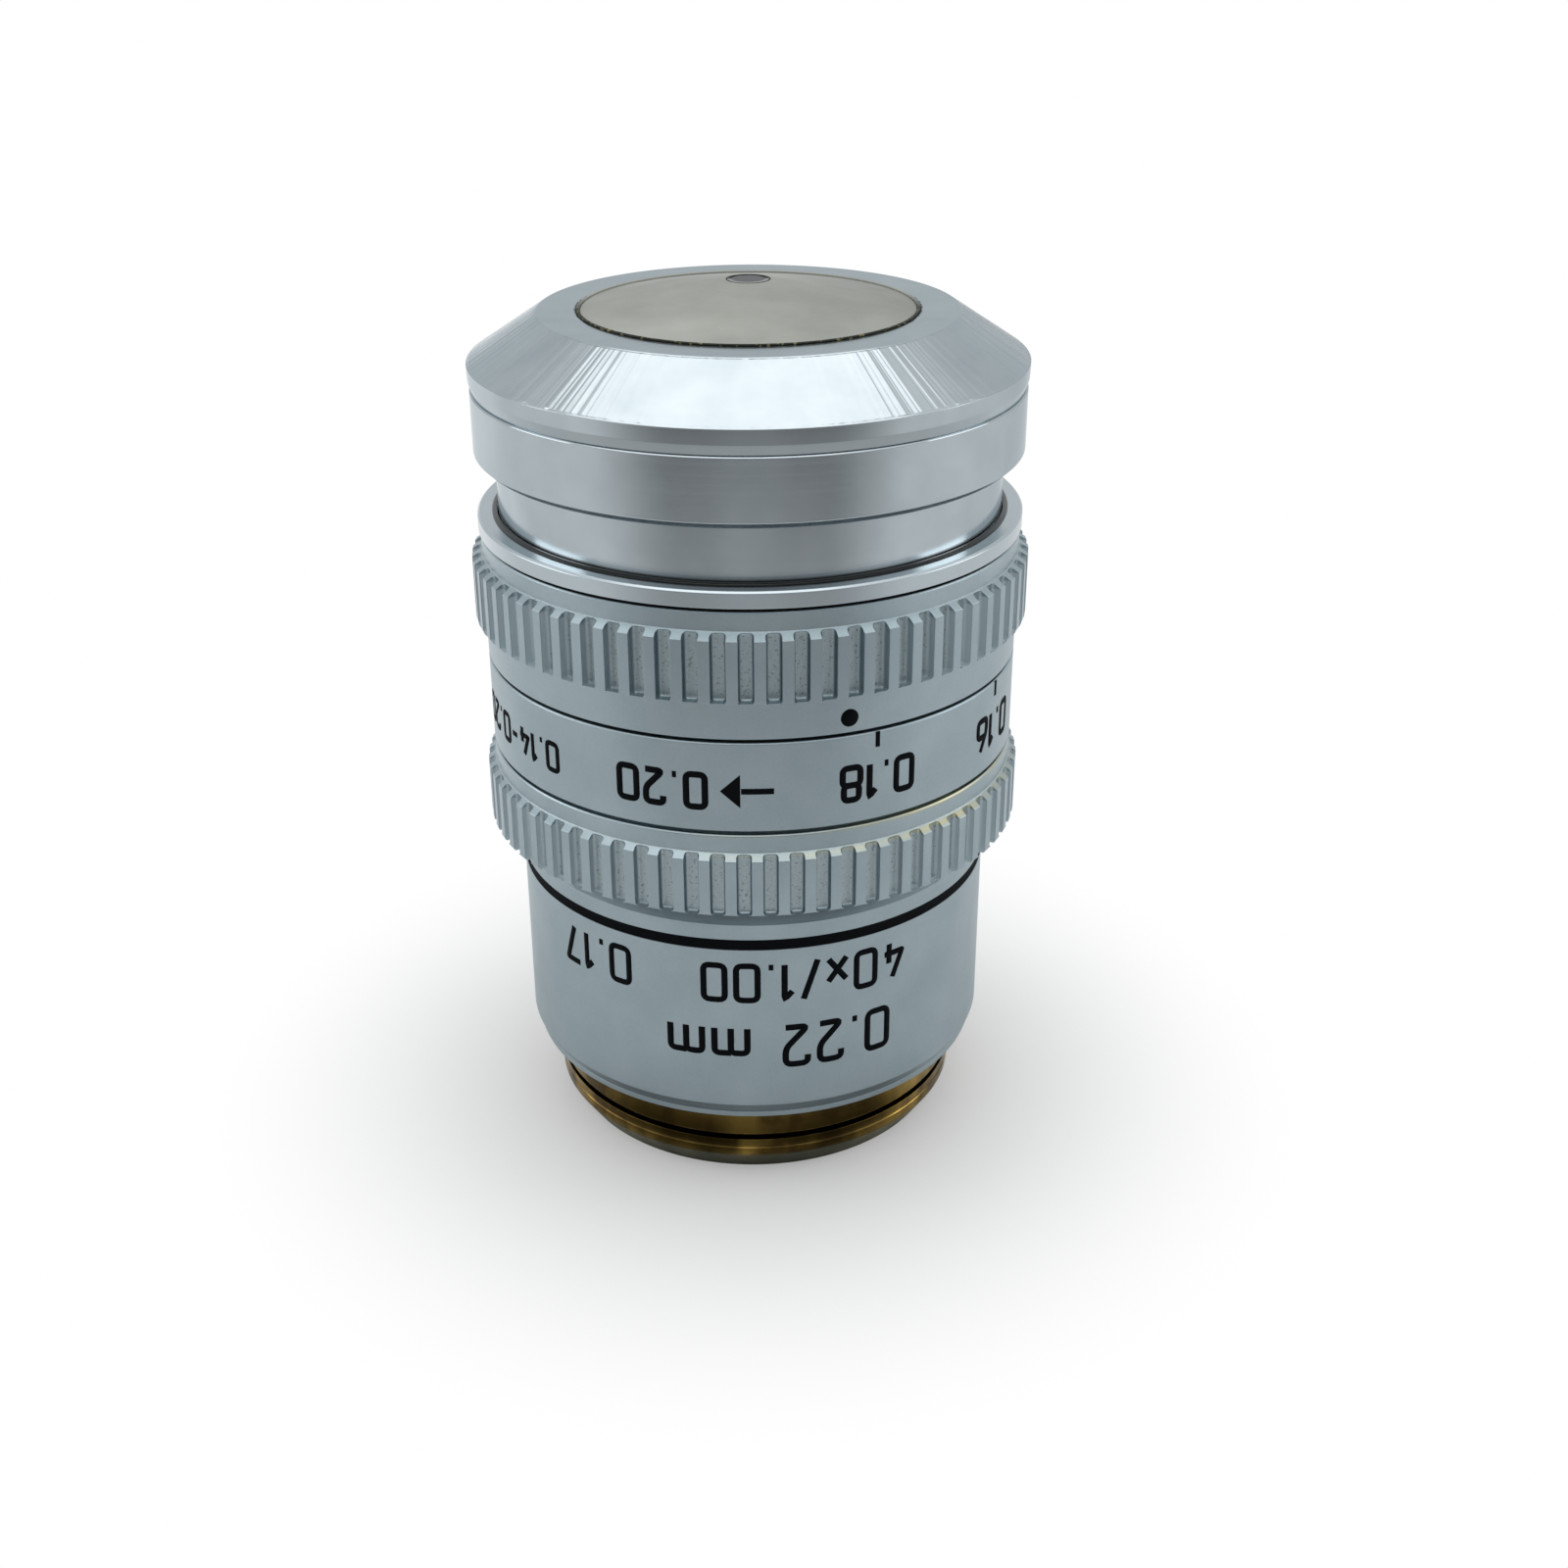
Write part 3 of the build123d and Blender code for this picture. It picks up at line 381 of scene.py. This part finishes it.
bpy.ops.mesh.normals_make_consistent(inside=False)
bpy.ops.object.mode_set(mode="OBJECT")
cut(mount, key_window)
bpy.ops.mesh.primitive_cylinder_add(vertices=32, radius=0.61 * mm, depth=3.15 * mm)
pin_hole = bpy.context.object
pin_hole.data.transform(
    Matrix.Rotation(radians(-160.7), 4, "Z")
    @ Matrix.Translation((12.525 * mm, 0, 18.65 * mm)) @ Matrix.Rotation(radians(90), 4, "Y"))
cut(mount, pin_hole)
soften(mount, 0.03)
mount.data.materials.append(brass)
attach(mount, "body")
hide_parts("mount_body")

# Inner optics: blackened brass cells and spacers, ground lenses with a faint coating, steel pins,
# and the brass cam, all screwed or dropped into the lens barrel from its two ends.


def black_wires(wires):
    lines = turning(wires, 6000)
    return {"Roughness": 0.42 + 0.2 * lines}


def steel_wires(wires):
    lines = grain(wires, 5000)
    return {"Roughness": 0.2 + 0.16 * lines}


def glass_wires(wires):
    tone = grain(wires, 300)
    return {"Roughness": 0.01 + 0.02 * tone}


blackened = finish("blackened_brass", black_wires, Base_Color=(0.018, 0.018, 0.019, 1), Metallic=0.6)
steel = finish("ground_steel", steel_wires, Base_Color=(0.55, 0.56, 0.57, 1), Metallic=1.0)
glass = finish(
    "coated_glass", glass_wires, Base_Color=(0.82, 0.9, 0.88, 1), Transmission_Weight=1.0, IOR=1.52)
inner_finishes = {"blackened_brass": blackened, "steel": steel, "glass": glass, "brass": brass}
for subpart in frame["record"]["subparts"]:
    inner = frame["nodes"][subpart["node"]]
    if subpart["material_slot"] in inner_finishes:
        inner.data.materials.clear()
        inner.data.materials.append(inner_finishes[subpart["material_slot"]])

# Return spring: four turns of round steel wire, coiled cold, between the mount's seat and the lens
# barrel's land. The real spring shortens as the nose is pressed in; here it is one fixed coil on the body.
bpy.ops.object.select_all(action="DESELECT")
bpy.ops.mesh.primitive_circle_add(vertices=18, radius=0.5 * mm)
spring = bpy.context.object
spring.name = "spring"
spring.data.name = "spring"
bpy.ops.object.mode_set(mode="EDIT")
bpy.ops.mesh.select_all(action="SELECT")
bpy.ops.transform.rotate(value=radians(90), orient_axis="X", center_override=(0, 0, 0))
bpy.ops.transform.translate(value=(11.125 * mm, 0, 6.72 * mm))
bpy.ops.object.mode_set(mode="OBJECT")
coil = spring.modifiers.new("coil", "SCREW")
coil.angle = radians(360)
coil.screw_offset = 2.5775 * mm
coil.iterations = 4
coil.steps = 48
coil.render_steps = 48
bpy.ops.object.modifier_apply(modifier=coil.name)
bpy.ops.object.mode_set(mode="EDIT")
bpy.ops.mesh.select_all(action="SELECT")
bpy.ops.mesh.remove_doubles(threshold=0.002 * mm)
bpy.ops.mesh.fill_holes(sides=0)
bpy.ops.mesh.normals_make_consistent(inside=False)
bpy.ops.object.mode_set(mode="OBJECT")
bpy.ops.object.shade_smooth_by_angle(angle=radians(40))
spring.data.materials.append(steel)
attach(spring, "body")
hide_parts("return_spring")
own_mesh(spring)

# Barrel sleeve: brass tube, turned, blasted and plated in matt chrome, pushed on over the guide tube.
# The shoulder under it is plated with it. A groove near its top and its figures hold black paint.


def satin_wires(wires):
    blast = grain(wires, 9000, 3.0)
    cloud = (grain(wires, 300, 6.0) - 0.19).held(1.6)
    lines = turning(wires, 5000)
    colour = wires.mixed(0.5 * cloud + 0.5 * blast, (0.32, 0.40, 0.435, 1), (0.475, 0.555, 0.59, 1))
    bump = wires.node("Bump", {}, {"Height": blast, "Strength": 0.6, "Distance": 0.01 * mm}, "Normal")
    return {"Base Color": colour, "Roughness": 0.34 + 0.1 * lines, "Normal": bump}


satin = finish("matt_chrome", satin_wires, Metallic=1.0)

barrel_r = 14.12
barrel = lathe("barrel", [
    (13.07, 5.46), (13.8, 5.46), (barrel_r, 6.1), (barrel_r, 16.56), (14.0, 16.56), (14.0, 17.2),
    (barrel_r, 17.2), (barrel_r, 18.18), (13.07, 18.18),
])
barrel.data.materials.append(satin)
mount.data.materials.append(satin)
for face in mount.data.polygons:
    plated = 5.05 * mm < face.center.z < 5.5 * mm and hypot(face.center.x, face.center.y) > 12.6 * mm
    face.material_index = 1 if plated else 0
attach(barrel, "body")
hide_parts("barrel_sleeve")


def paint_wires(wires):
    mottle = grain(wires, 9000)
    bump = wires.node("Bump", {}, {"Height": mottle, "Strength": 0.2, "Distance": 0.01 * mm}, "Normal")
    return {"Roughness": 0.6 + 0.2 * mottle, "Normal": bump}


paint = finish("black_paint", paint_wires, Base_Color=(0.003, 0.0035, 0.005, 1), Specular_IOR_Level=0.06)

barrel_line = lathe("barrel_line", [
    (13.99, 16.57), (14.09, 16.57), (14.07, 16.88), (14.09, 17.19), (13.99, 17.19),
], soft=0)
bpy.ops.object.shade_smooth_by_angle(angle=radians(32))
barrel_line.data.materials.append(paint)
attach(barrel_line, "body")


def rounded(points, bend, closed=False):
    """Points of a cutter's path with its corners rounded, no two of them far apart."""
    path = []
    count = len(points)
    for index, (x, y) in enumerate(points):
        if not closed and index in (0, count - 1):
            path.append((x, y))
            continue
        sides = []
        for ax, ay in (points[index - 1], points[(index + 1) % count]):
            long = hypot(ax - x, ay - y)
            reach = min(bend, long / 2)
            sides.append((x + (ax - x) / long * reach, y + (ay - y) / long * reach))
        for part in range(5):
            t = part / 4
            path.append(tuple((1 - t) ** 2 * a + 2 * t * (1 - t) * b + t * t * c
                              for a, b, c in zip(sides[0], (x, y), sides[1])))
    close = []
    for index in range(len(path) if closed else len(path) - 1):
        (ax, ay), (bx, by) = path[index], path[(index + 1) % len(path)]
        steps = max(1, ceil(hypot(bx - ax, by - ay) / 0.09))
        close += [(ax + (bx - ax) * s / steps, ay + (by - ay) * s / steps) for s in range(steps)]
    return close if closed else [*close, path[-1]]


figures = {
    "0": (0.54, [([(0, 0), (0.54, 0), (0.54, 1), (0, 1)], 0.16, True)]),
    "1": (0.2, [([(0, 0.78), (0.2, 1), (0.2, 0)], 0.0, False)]),
    "2": (0.52, [([(0, 0.78), (0, 1), (0.52, 1), (0.52, 0.56), (0, 0.0), (0.52, 0)], 0.16, False)]),
    "4": (0.56, [([(0.3, 1), (0, 0.28), (0.56, 0.28)], 0.02, False),
                 ([(0.42, 0.56), (0.42, 0)], 0.0, False)]),
    "5": (0.52, [([(0.5, 1), (0.02, 1), (0, 0.58), (0.52, 0.58), (0.52, 0), (0, 0)], 0.15, False)]),
    "6": (0.52, [([(0.34, 1), (0, 0.44), (0, 0), (0.52, 0), (0.52, 0.54), (0.04, 0.54)], 0.16, False)]),
    "7": (0.5, [([(0, 1), (0.5, 1), (0.18, 0)], 0.03, False)]),
    "8": (0.54, [([(0, 0), (0.54, 0), (0.54, 0.54), (0, 0.54)], 0.15, True),
                 ([(0.04, 0.54), (0.5, 0.54), (0.5, 1), (0.04, 1)], 0.15, True)]),
    "x": (0.48, [([(0, 0), (0.48, 0.64)], 0.0, False), ([(0, 0.64), (0.48, 0)], 0.0, False)]),
    "m": (0.76, [([(0, 0), (0, 0.66), (0.38, 0.66), (0.38, 0)], 0.12, False),
                 ([(0.38, 0.66), (0.76, 0.66), (0.76, 0)], 0.12, False)]),
    "/": (0.36, [([(0, -0.06), (0.36, 1.04)], 0.0, False)]),
    ".": (0.1, [([(-0.01, 0.05), (0.11, 0.05)], 0.0, False)]),
    "-": (0.36, [([(0, 0.5), (0.36, 0.5)], 0.0, False)]),
    " ": (0.3, []),
}


def engrave(name, strokes, size, stroke, radius, azimuth, height, body):
    """Lay painted strokes on a ring, upside down: (x, y, width) points, in figure heights."""
    path = bpy.data.curves.new(name, "CURVE")
    path.dimensions = "3D"
    path.twist_mode = "Z_UP"
    path.extrude = stroke * mm / 2
    for points, closed in strokes:
        spline = path.splines.new("POLY")
        spline.points.add(len(points) - 1)
        spline.use_cyclic_u = closed
        for point, (x, y, width) in zip(spline.points, points):
            point.co = (-x * size * mm, -y * size * mm, 0, 1)
            point.tilt = pi / 2
            point.radius = width
    mark = bpy.data.objects.new(name, path)
    bpy.context.scene.collection.objects.link(mark)
    bpy.ops.object.select_all(action="DESELECT")
    mark.select_set(True)
    bpy.context.view_layer.objects.active = mark
    bpy.ops.object.convert(target="MESH")
    mark.data.transform(Matrix.Rotation(radians(90), 4, "X"))
    bpy.ops.object.mode_set(mode="EDIT")
    bpy.ops.mesh.select_all(action="SELECT")
    bpy.ops.mesh.remove_doubles(threshold=0.001 * mm)
    bpy.ops.mesh.normals_make_consistent(inside=False)
    bpy.ops.object.mode_set(mode="OBJECT")
    body_of_paint = mark.modifiers.new("depth", "SOLIDIFY")
    body_of_paint.thickness = 0.03 * mm
    body_of_paint.offset = 0
    bpy.ops.object.modifier_apply(modifier=body_of_paint.name)
    wide = [v.co.x for v in mark.data.vertices]
    wrap = mark.modifiers.new("wrap", "SIMPLE_DEFORM")
    wrap.deform_method = "BEND"
    wrap.deform_axis = "Z"
    wrap.angle = (max(wide) - min(wide)) / (radius * mm)
    bpy.ops.object.modifier_apply(modifier=wrap.name)
    mark.data.transform(
        Matrix.Rotation(radians(azimuth), 4, "Z") @ Matrix.Translation((0, -radius * mm, height * mm)))
    mark.data.materials.append(paint)
    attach(mark, body)
    return mark


def row(name, text, size, stroke, radius, azimuth, height, body, gap=0.29):
    """Engrave a row of figures, centred on an azimuth and a height."""
    strokes = []
    x = 0
    for figure in text:
        width, lines = figures[figure]
        for points, bend, closed in lines:
            strokes.append(([(x + px, py - 0.5, 1.0) for px, py in rounded(points, bend, closed)], closed))
        x += width + gap
    middle = (x - gap) / 2
    centred = [([(px - middle, py, w) for px, py, w in points], closed) for points, closed in strokes]
    return engrave(name, centred, size, stroke, radius, azimuth, height, body)


row("barrel_figures_upper", "40x/1.00   0.17", 2.25, 0.36, barrel_r, -7.0, 14.4, "body")
row("barrel_figures_lower", "0.22 mm", 2.5, 0.38, barrel_r, 6.3, 10.1, "body")

# Grip ring: brass, turned with a flare below, a raised band milled into a knurl of flat-bottomed
# slots, and a plain band above. It is blasted and plated like the barrel, and seats on it.
ring_r = 15.47
slot_floor_r = 15.5
slot_width = 0.82
slot_count = 69


def slotted(name, crest_r, bevel_z, worn_edges=()):
    """Matt chrome for a knurled ring: pitted slot floors, slot walls painted lighter at the sides and
    darker in front as painted light and shade, edges worn to the brass.
    """

    def slot_wires(wires):
        blast = grain(wires, 9000, 3.0)
        cloud = (grain(wires, 300, 6.0) - 0.19).held(1.6)
        pits = grain(wires, 6500, 3.0)
        east, north, up, out = spot(wires)
        sunk = ((slot_floor_r + 0.06) * mm - out).held(20000.0)
        proud = (out - (ring_r + 0.012) * mm).held(60000.0)
        bed = sunk * proud
        below_crest = ((crest_r - 0.02) * mm - out).held(20000.0)
        below_bevel = (bevel_z * mm - up).held(20000.0)
        walls = (1.0 - sunk) * below_crest * below_bevel
        # Painted light on the slot walls: on the sides they are painted lighter and made less metallic and
        # rougher.
        side = (wires.maths("ABSOLUTE", east) - 5 * mm).held(150.0)
        lit_side_walls = walls * side
        specks = (pits - 0.55).held(8.0) * bed
        plate = wires.mixed(0.5 * cloud + 0.5 * blast, (0.32, 0.40, 0.435, 1), (0.475, 0.555, 0.59, 1))
        floor = wires.mixed(pits, (0.30, 0.37, 0.395, 1), (0.62, 0.71, 0.74, 1))
        wall = wires.mixed(lit_side_walls * 0.8, plate, (0.6, 0.68, 0.71, 1))
        metal = wires.mixed(bed, wall, floor)
        # Dark specks in the pits of the slot floors, and painted shade on the slot walls in front.
        darkened = wires.mixed(specks * 0.55 + (walls - lit_side_walls) * 0.15, metal, (0.05, 0.06, 0.06, 1))
        front_shade_and_wear = (east + 4 * mm).held(120.0)
        front_shade_and_wear = front_shade_and_wear * (0.0 - north).held(120.0)
        wear = 0.0
        for edge_z in worn_edges:
            away = wires.maths("ABSOLUTE", up - edge_z * mm)
            wear = wear + wires.maths("SUBTRACT", 1.0, away * 5000.0, clamp=True)
        colour = wires.mixed(wear * front_shade_and_wear * cloud, darkened, (0.62, 0.55, 0.27, 1))
        rough = blast + pits * bed
        bump = wires.node("Bump", {}, {"Height": rough, "Strength": 0.4, "Distance": 0.01 * mm}, "Normal")
        return {"Base Color": colour, "Metallic": 1.0 - 0.75 * lit_side_walls,
                "Roughness": 0.34 + 0.1 * bed + 0.25 * lit_side_walls, "Normal": bump}

    return finish(name, slot_wires)


def mill(ring, low, high, crest_azimuth):
    """Mill the knurl's slots between two heights with one flat-nosed cutter."""
    bpy.ops.object.select_all(action="DESELECT")
    bpy.ops.mesh.primitive_cube_add(size=1)
    cutter = bpy.context.object
    for edge in cutter.data.edges:
        low_end, high_end = [cutter.data.vertices[corner].co for corner in edge.vertices]
        edge.select = abs(low_end.z - high_end.z) > 0.5
    bpy.ops.object.mode_set(mode="EDIT")
    bpy.ops.mesh.select_mode(type="EDGE")
    bpy.ops.transform.resize(
        value=(2 * slot_width * mm, slot_width * mm, (high - low) * mm), center_override=(0, 0, 0))
    bpy.ops.mesh.bevel(offset=0.2 * mm, segments=4)
    bpy.ops.mesh.select_all(action="SELECT")
    bpy.ops.transform.translate(value=((slot_floor_r + slot_width) * mm, 0, (low + high) / 2 * mm))
    pitch = 360 / slot_count
    bpy.ops.transform.rotate(
        value=-radians(crest_azimuth + pitch / 2), orient_axis="Z", center_override=(0, 0, 0))
    for _ in range(slot_count - 1):
        bpy.ops.mesh.duplicate()
        bpy.ops.transform.rotate(value=-radians(pitch), orient_axis="Z", center_override=(0, 0, 0))
    bpy.ops.mesh.select_mode(type="VERT")
    bpy.ops.object.mode_set(mode="OBJECT")
    cut(ring, cutter)


grip = lathe("grip", [
    (13.07, 18.18), (barrel_r, 18.18), (ring_r, 19.78), (15.93, 19.78), (15.93, 23.08),
    (ring_r, 23.43), (ring_r, 24.39), (15.39, 24.47), (14.87, 24.47), (14.87, 24.67), (13.07, 24.67),
], soft=0, segments=4 * slot_count)
mill(grip, 19.78, 23.43, -89.3)
soften(grip, 0.025)
grip.data.materials.append(slotted("matt_chrome_grip", 15.93, 23.08, (23.25, 24.43)))
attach(grip, "body")
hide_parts("grip_ring")

# Scale ring: brass, turned plain, blasted and matt chromed, held between the grip ring and the collar.
# Its ticks, figures and arrow are cut and filled with black paint, to be read with the nose down.
scale = lathe("scale", [
    (13.07, 24.67), (15.39, 24.67), (ring_r, 24.75), (ring_r, 29.81), (15.39, 29.89), (13.07, 29.89),
])
scale.data.materials.append(satin)
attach(scale, "body")
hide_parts("scale_ring")

tick = [([(0, -0.475, 1), (0, 0, 1), (0, 0.43, 1)], False)]
for tick_name, tick_azimuth in (("tick_018", 25.5), ("tick_016", 62.4), ("tick_014", 99.3)):
    engrave(tick_name, tick, 1.0, 0.26, ring_r, tick_azimuth, 29.4, "body")
for figure_name, figure, figure_azimuth in (
    ("scale_018", "0.18", 25.9), ("scale_016", "0.16", 62.6), ("scale_014", "0.14", 99.4),
    ("scale_020", "0.20", -18.6),
):
    row(figure_name, figure, 1.9, 0.36, ring_r, figure_azimuth, 27.05, "body")
row("scale_span", "0.14-0.20", 1.6, 0.3, ring_r, -61.0, 27.1, "body")
arrow_shaft = [(-1.11 + 0.16 * i, 0.0, 1.0) for i in range(12)]
arrow_head = [(0.69 + 1.07 * i / 8, 0.0, 5.9 * (1 - i / 8) + 0.05) for i in range(9)]
arrow = [(arrow_shaft, False), (arrow_head, False)]
engrave("scale_arrow", arrow, 1.0, 0.33, ring_r, 0.0, 27.1, "body")

# Correction collar: brass, turned, milled with the same knurl and matt chromed. It turns on the guide
# tube, carries the index dot, and drives the cam through a slotted key screw.
collar = lathe("collar", [
    (13.1, 30.06), (15.39, 30.06), (ring_r, 30.14), (ring_r, 32.38), (16.039, 32.38), (16.039, 35.82),
    (ring_r, 36.18), (ring_r, 37.14), (15.39, 37.22), (14.94, 37.22), (14.94, 33.32), (13.1, 33.32),
], soft=0, segments=4 * slot_count)
mill(collar, 32.38, 36.18, -88.5)
for hole_r, hole_from, hole_to in ((0.81, 11.9, 17.0), (0.96, 14.5, 17.0)):
    bpy.ops.mesh.primitive_cylinder_add(vertices=32, radius=hole_r * mm, depth=(hole_to - hole_from) * mm)
    key_hole = bpy.context.object
    key_hole.data.transform(
        Matrix.Rotation(radians(109.3), 4, "Z")
        @ Matrix.Translation(((hole_from + hole_to) / 2 * mm, 0, 31.22 * mm))
        @ Matrix.Rotation(radians(90), 4, "Y"))
    cut(collar, key_hole)
soften(collar, 0.025)
collar.data.materials.append(slotted("matt_chrome_collar", 16.04, 35.82))
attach(collar, "collar")
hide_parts("correction_collar")

dot_half = [(0.5 * sin(radians(a)), 0.0, max(0.02, cos(radians(a)))) for a in range(-90, 91, 10)]
engrave("index_dot", [(dot_half, False)], 1.0, 1.0, ring_r, 19.3, 30.95, "collar")

# Retaining ring: brass, turned, polished and bright chromed. Its skirt screws onto the guide tube
# and its bright face closes the collar in.


def bright_wires(wires):
    lines = turning(wires, 14000)
    broad = turning(wires, 2200)
    haze = (grain(wires, 420, 6.0) - 0.1).held(1.25)
    colour = wires.mixed(haze, (0.46, 0.515, 0.545, 1), (0.585, 0.64, 0.67, 1))
    bump = wires.node("Bump", {}, {"Height": lines, "Strength": 0.06, "Distance": 0.01 * mm}, "Normal")
    return {"Base Color": colour, "Roughness": 0.1 + 0.12 * broad, "Normal": bump}


lathe_finish = {"Metallic": 1.0, "Anisotropic": 0.8, "Anisotropic_Rotation": 0.25,
                "Specular_Tint": (0.78, 0.82, 0.84, 1)}
bright = finish("bright_chrome", bright_wires, **lathe_finish)


def polished_wires(wires):
    haze = grain(wires, 500, 5.0)
    return {"Roughness": 0.14 + 0.1 * haze}


polished = finish("polished_chrome", polished_wires, Base_Color=(0.54, 0.605, 0.64, 1), Metallic=1.0)

retainer = lathe("retainer", [
    (13.07, 33.47), (14.84, 33.47), (14.84, 37.43), (15.58, 37.43), (15.58, 38.24), (15.45, 38.37),
    (14.44, 38.37), (14.44, 35.97), (11.2, 35.97), (11.2, 35.27), (13.07, 35.27),
])
retainer.data.materials.append(polished)
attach(retainer, "body")
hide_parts("retaining_ring")

# Neck gap shadow: a thin glossy black ring round the mouth of the retaining ring, lying on its face. It is
# painted shade that makes the gap where the neck enters read as a dark line, and its gloss gives glints.


def shadow_ring_wires(wires):
    gloss_noise = grain(wires, 1500, 4.0)
    return {"Roughness": 0.1 + 0.16 * gloss_noise}


glossy_shadow_black = finish("glossy_black_shadow", shadow_ring_wires, Base_Color=(0.006, 0.0065, 0.006, 1))
neck_gap_shadow = lathe("neck_gap_shadow", [
    (14.46, 38.371), (14.74, 38.371), (14.74, 38.44), (14.64, 38.5), (14.46, 38.5),
])
neck_gap_shadow.data.materials.append(glossy_shadow_black)
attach(neck_gap_shadow, "body")

# Gap shadow ring: a thin black ring in the gap between the collar and the retaining ring, round the
# retaining ring's skirt. It is painted shade that makes the gap read as a black line.
gap_shadow = lathe("gap_shadow_ring", [(14.96, 37.24), (15.4, 37.24), (15.4, 37.41), (14.96, 37.41)], soft=0)
gap_shadow.data.materials.append(paint)
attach(gap_shadow, "body")

# Front sleeve: turned brass, bright chromed with the tool lines showing, screwed onto the lens barrel.
# Its neck slides into the retaining ring as the nose is pressed.
sleeve = lathe("sleeve", [
    (13.0, 37.92), (14.39, 37.92), (14.39, 41.58), (15.21, 41.58), (15.56, 41.93), (15.56, 45.27),
    (15.48, 45.35), (13.92, 45.35), (13.92, 42.75), (10.87, 42.75), (10.87, 40.75), (13.0, 40.75),
])
sleeve.data.materials.append(bright)
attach(sleeve, "optics")
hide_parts("front_sleeve")

# Nose cap: turned brass, bright chromed, with a conical face that the turning tool left its rings on.
# It screws into the sleeve over the front cell, and a narrow bevel runs under its rim.


def cap_wires(wires):
    look = bright_wires(wires)
    _, north, up, out = spot(wires)
    ragged = grain(wires, 2600, 3.0)
    seam = ((9.46 + ragged * 0.28) * mm - out).held(30000.0)
    chatter = streaks(wires, 26.0)
    on_cone = (up - 46.8 * mm).held(20000.0)
    on_cone = on_cone * (out - 11.75 * mm).held(20000.0)
    ripple = wires.node("Bump", {}, {
        "Height": chatter * on_cone, "Strength": 1.0, "Distance": 0.04 * mm,
        "Normal": look["Normal"]}, "Normal")
    # Painted shade: the front of the rim and of the bevel under it is painted a darker grey.
    rim = (46.74 * mm - up).held(20000.0)
    rim = rim * (out - 15.3 * mm).held(20000.0)
    bevel = (45.98 * mm - up).held(20000.0)
    on_bevel = bevel * (0.0 - north - 9 * mm).held(200.0)
    on_wall = (1.0 - bevel) * (0.0 - north - 13.6 * mm).held(700.0)
    front_shade_and_wear = rim * (on_bevel + on_wall)
    rim_painted_shade = wires.mixed(front_shade_and_wear * 0.6, look["Base Color"], (0.28, 0.31, 0.325, 1))
    look["Base Color"] = wires.mixed(seam * 0.9, rim_painted_shade, (0.03, 0.03, 0.018, 1))
    look["Roughness"] = look["Roughness"] + 0.3 * seam
    look["Normal"] = ripple
    return look


cap_chrome = finish("bright_chrome_cap", cap_wires, **lathe_finish)

cap = lathe("cap", [
    (11.52, 42.9), (13.9, 42.9), (13.9, 45.35), (15.43, 45.35), (15.61, 45.93), (15.64, 46.75),
    (11.69, 49.33), (9.48, 49.33), (9.48, 46.6), (11.52, 46.6),
])
cap.data.materials.append(cap_chrome)
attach(cap, "optics")
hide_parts("nose_cap")

# Front lens cell: brass, turned to a shallow cone and plated in matt nickel, clamped under the cap.
# The small front lens sits in its mouth, dished at the edge, in a thin ring of black cement.


def nickel_wires(wires):
    blast = grain(wires, 21000, 2.0)
    cloud = (grain(wires, 190, 6.0) - 0.25).held(2.0)
    streak = turning(wires, 5200)
    colour = wires.mixed(cloud, (0.32, 0.325, 0.295, 1), (0.47, 0.48, 0.44, 1))
    bump = wires.node("Bump", {}, {"Height": blast, "Strength": 0.3, "Distance": 0.012 * mm}, "Normal")
    return {"Base Color": colour, "Roughness": 0.46 + 0.12 * streak, "Normal": bump}


nickel = finish("matt_nickel", nickel_wires, Metallic=1.0)
front_cell = frame["nodes"]["front_lens_cell"]
front_cell.data.materials.clear()
front_cell.data.materials.append(nickel)


def window_wires(wires):
    out = spot(wires)[3]
    dish = (out - 0.92 * mm).held(4000.0)
    edge = wires.node("Bump", {}, {"Height": dish, "Strength": 1.0, "Distance": 0.14 * mm}, "Normal")
    return {**glass_wires(wires), "Normal": edge}


dark_glass = finish(
    "front_glass", window_wires, Base_Color=(0.1, 0.125, 0.12, 1), Transmission_Weight=1.0, IOR=1.2)
front_lens = frame["nodes"]["front_lens"]
front_lens.data.materials.clear()
front_lens.data.materials.append(dark_glass)
seal = lathe("front_seal", [
    (1.13, 50.8), (1.23, 50.8), (1.23, 50.849), (1.13, 50.849),
], soft=0, segments=96)
seal.data.materials.append(paint)
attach(seal, "optics")

# Edge cement: a bead of dark cement in the gap between the front cell and the cap, gone rough with age.
# It was run in from above after the cap was screwed down, and stands a little proud.


def cement_wires(wires):
    specks = (grain(wires, 3600, 2.0) - 0.56).held(12.0)
    north = spot(wires)[1]
    # Painted light: the far half of the bead is painted light grey.
    lit_far_half = (north + 1 * mm).held(250.0)
    dark = wires.mixed(specks * 0.7, (0.014, 0.017, 0.012, 1), (0.3, 0.27, 0.13, 1))
    colour = wires.mixed(lit_far_half * 0.9, dark, (0.42, 0.43, 0.4, 1))
    return {"Base Color": colour, "Roughness": 0.5 + 0.2 * specks}


cement = finish("dark_cement", cement_wires, Specular_IOR_Level=0.2)
edge_cement = lathe("edge_cement", [
    (9.28, 49.2), (9.46, 49.2), (9.46, 49.41), (9.37, 49.46), (9.28, 49.41),
], soft=0)
edge_cement.data.materials.append(cement)
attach(edge_cement, "optics")
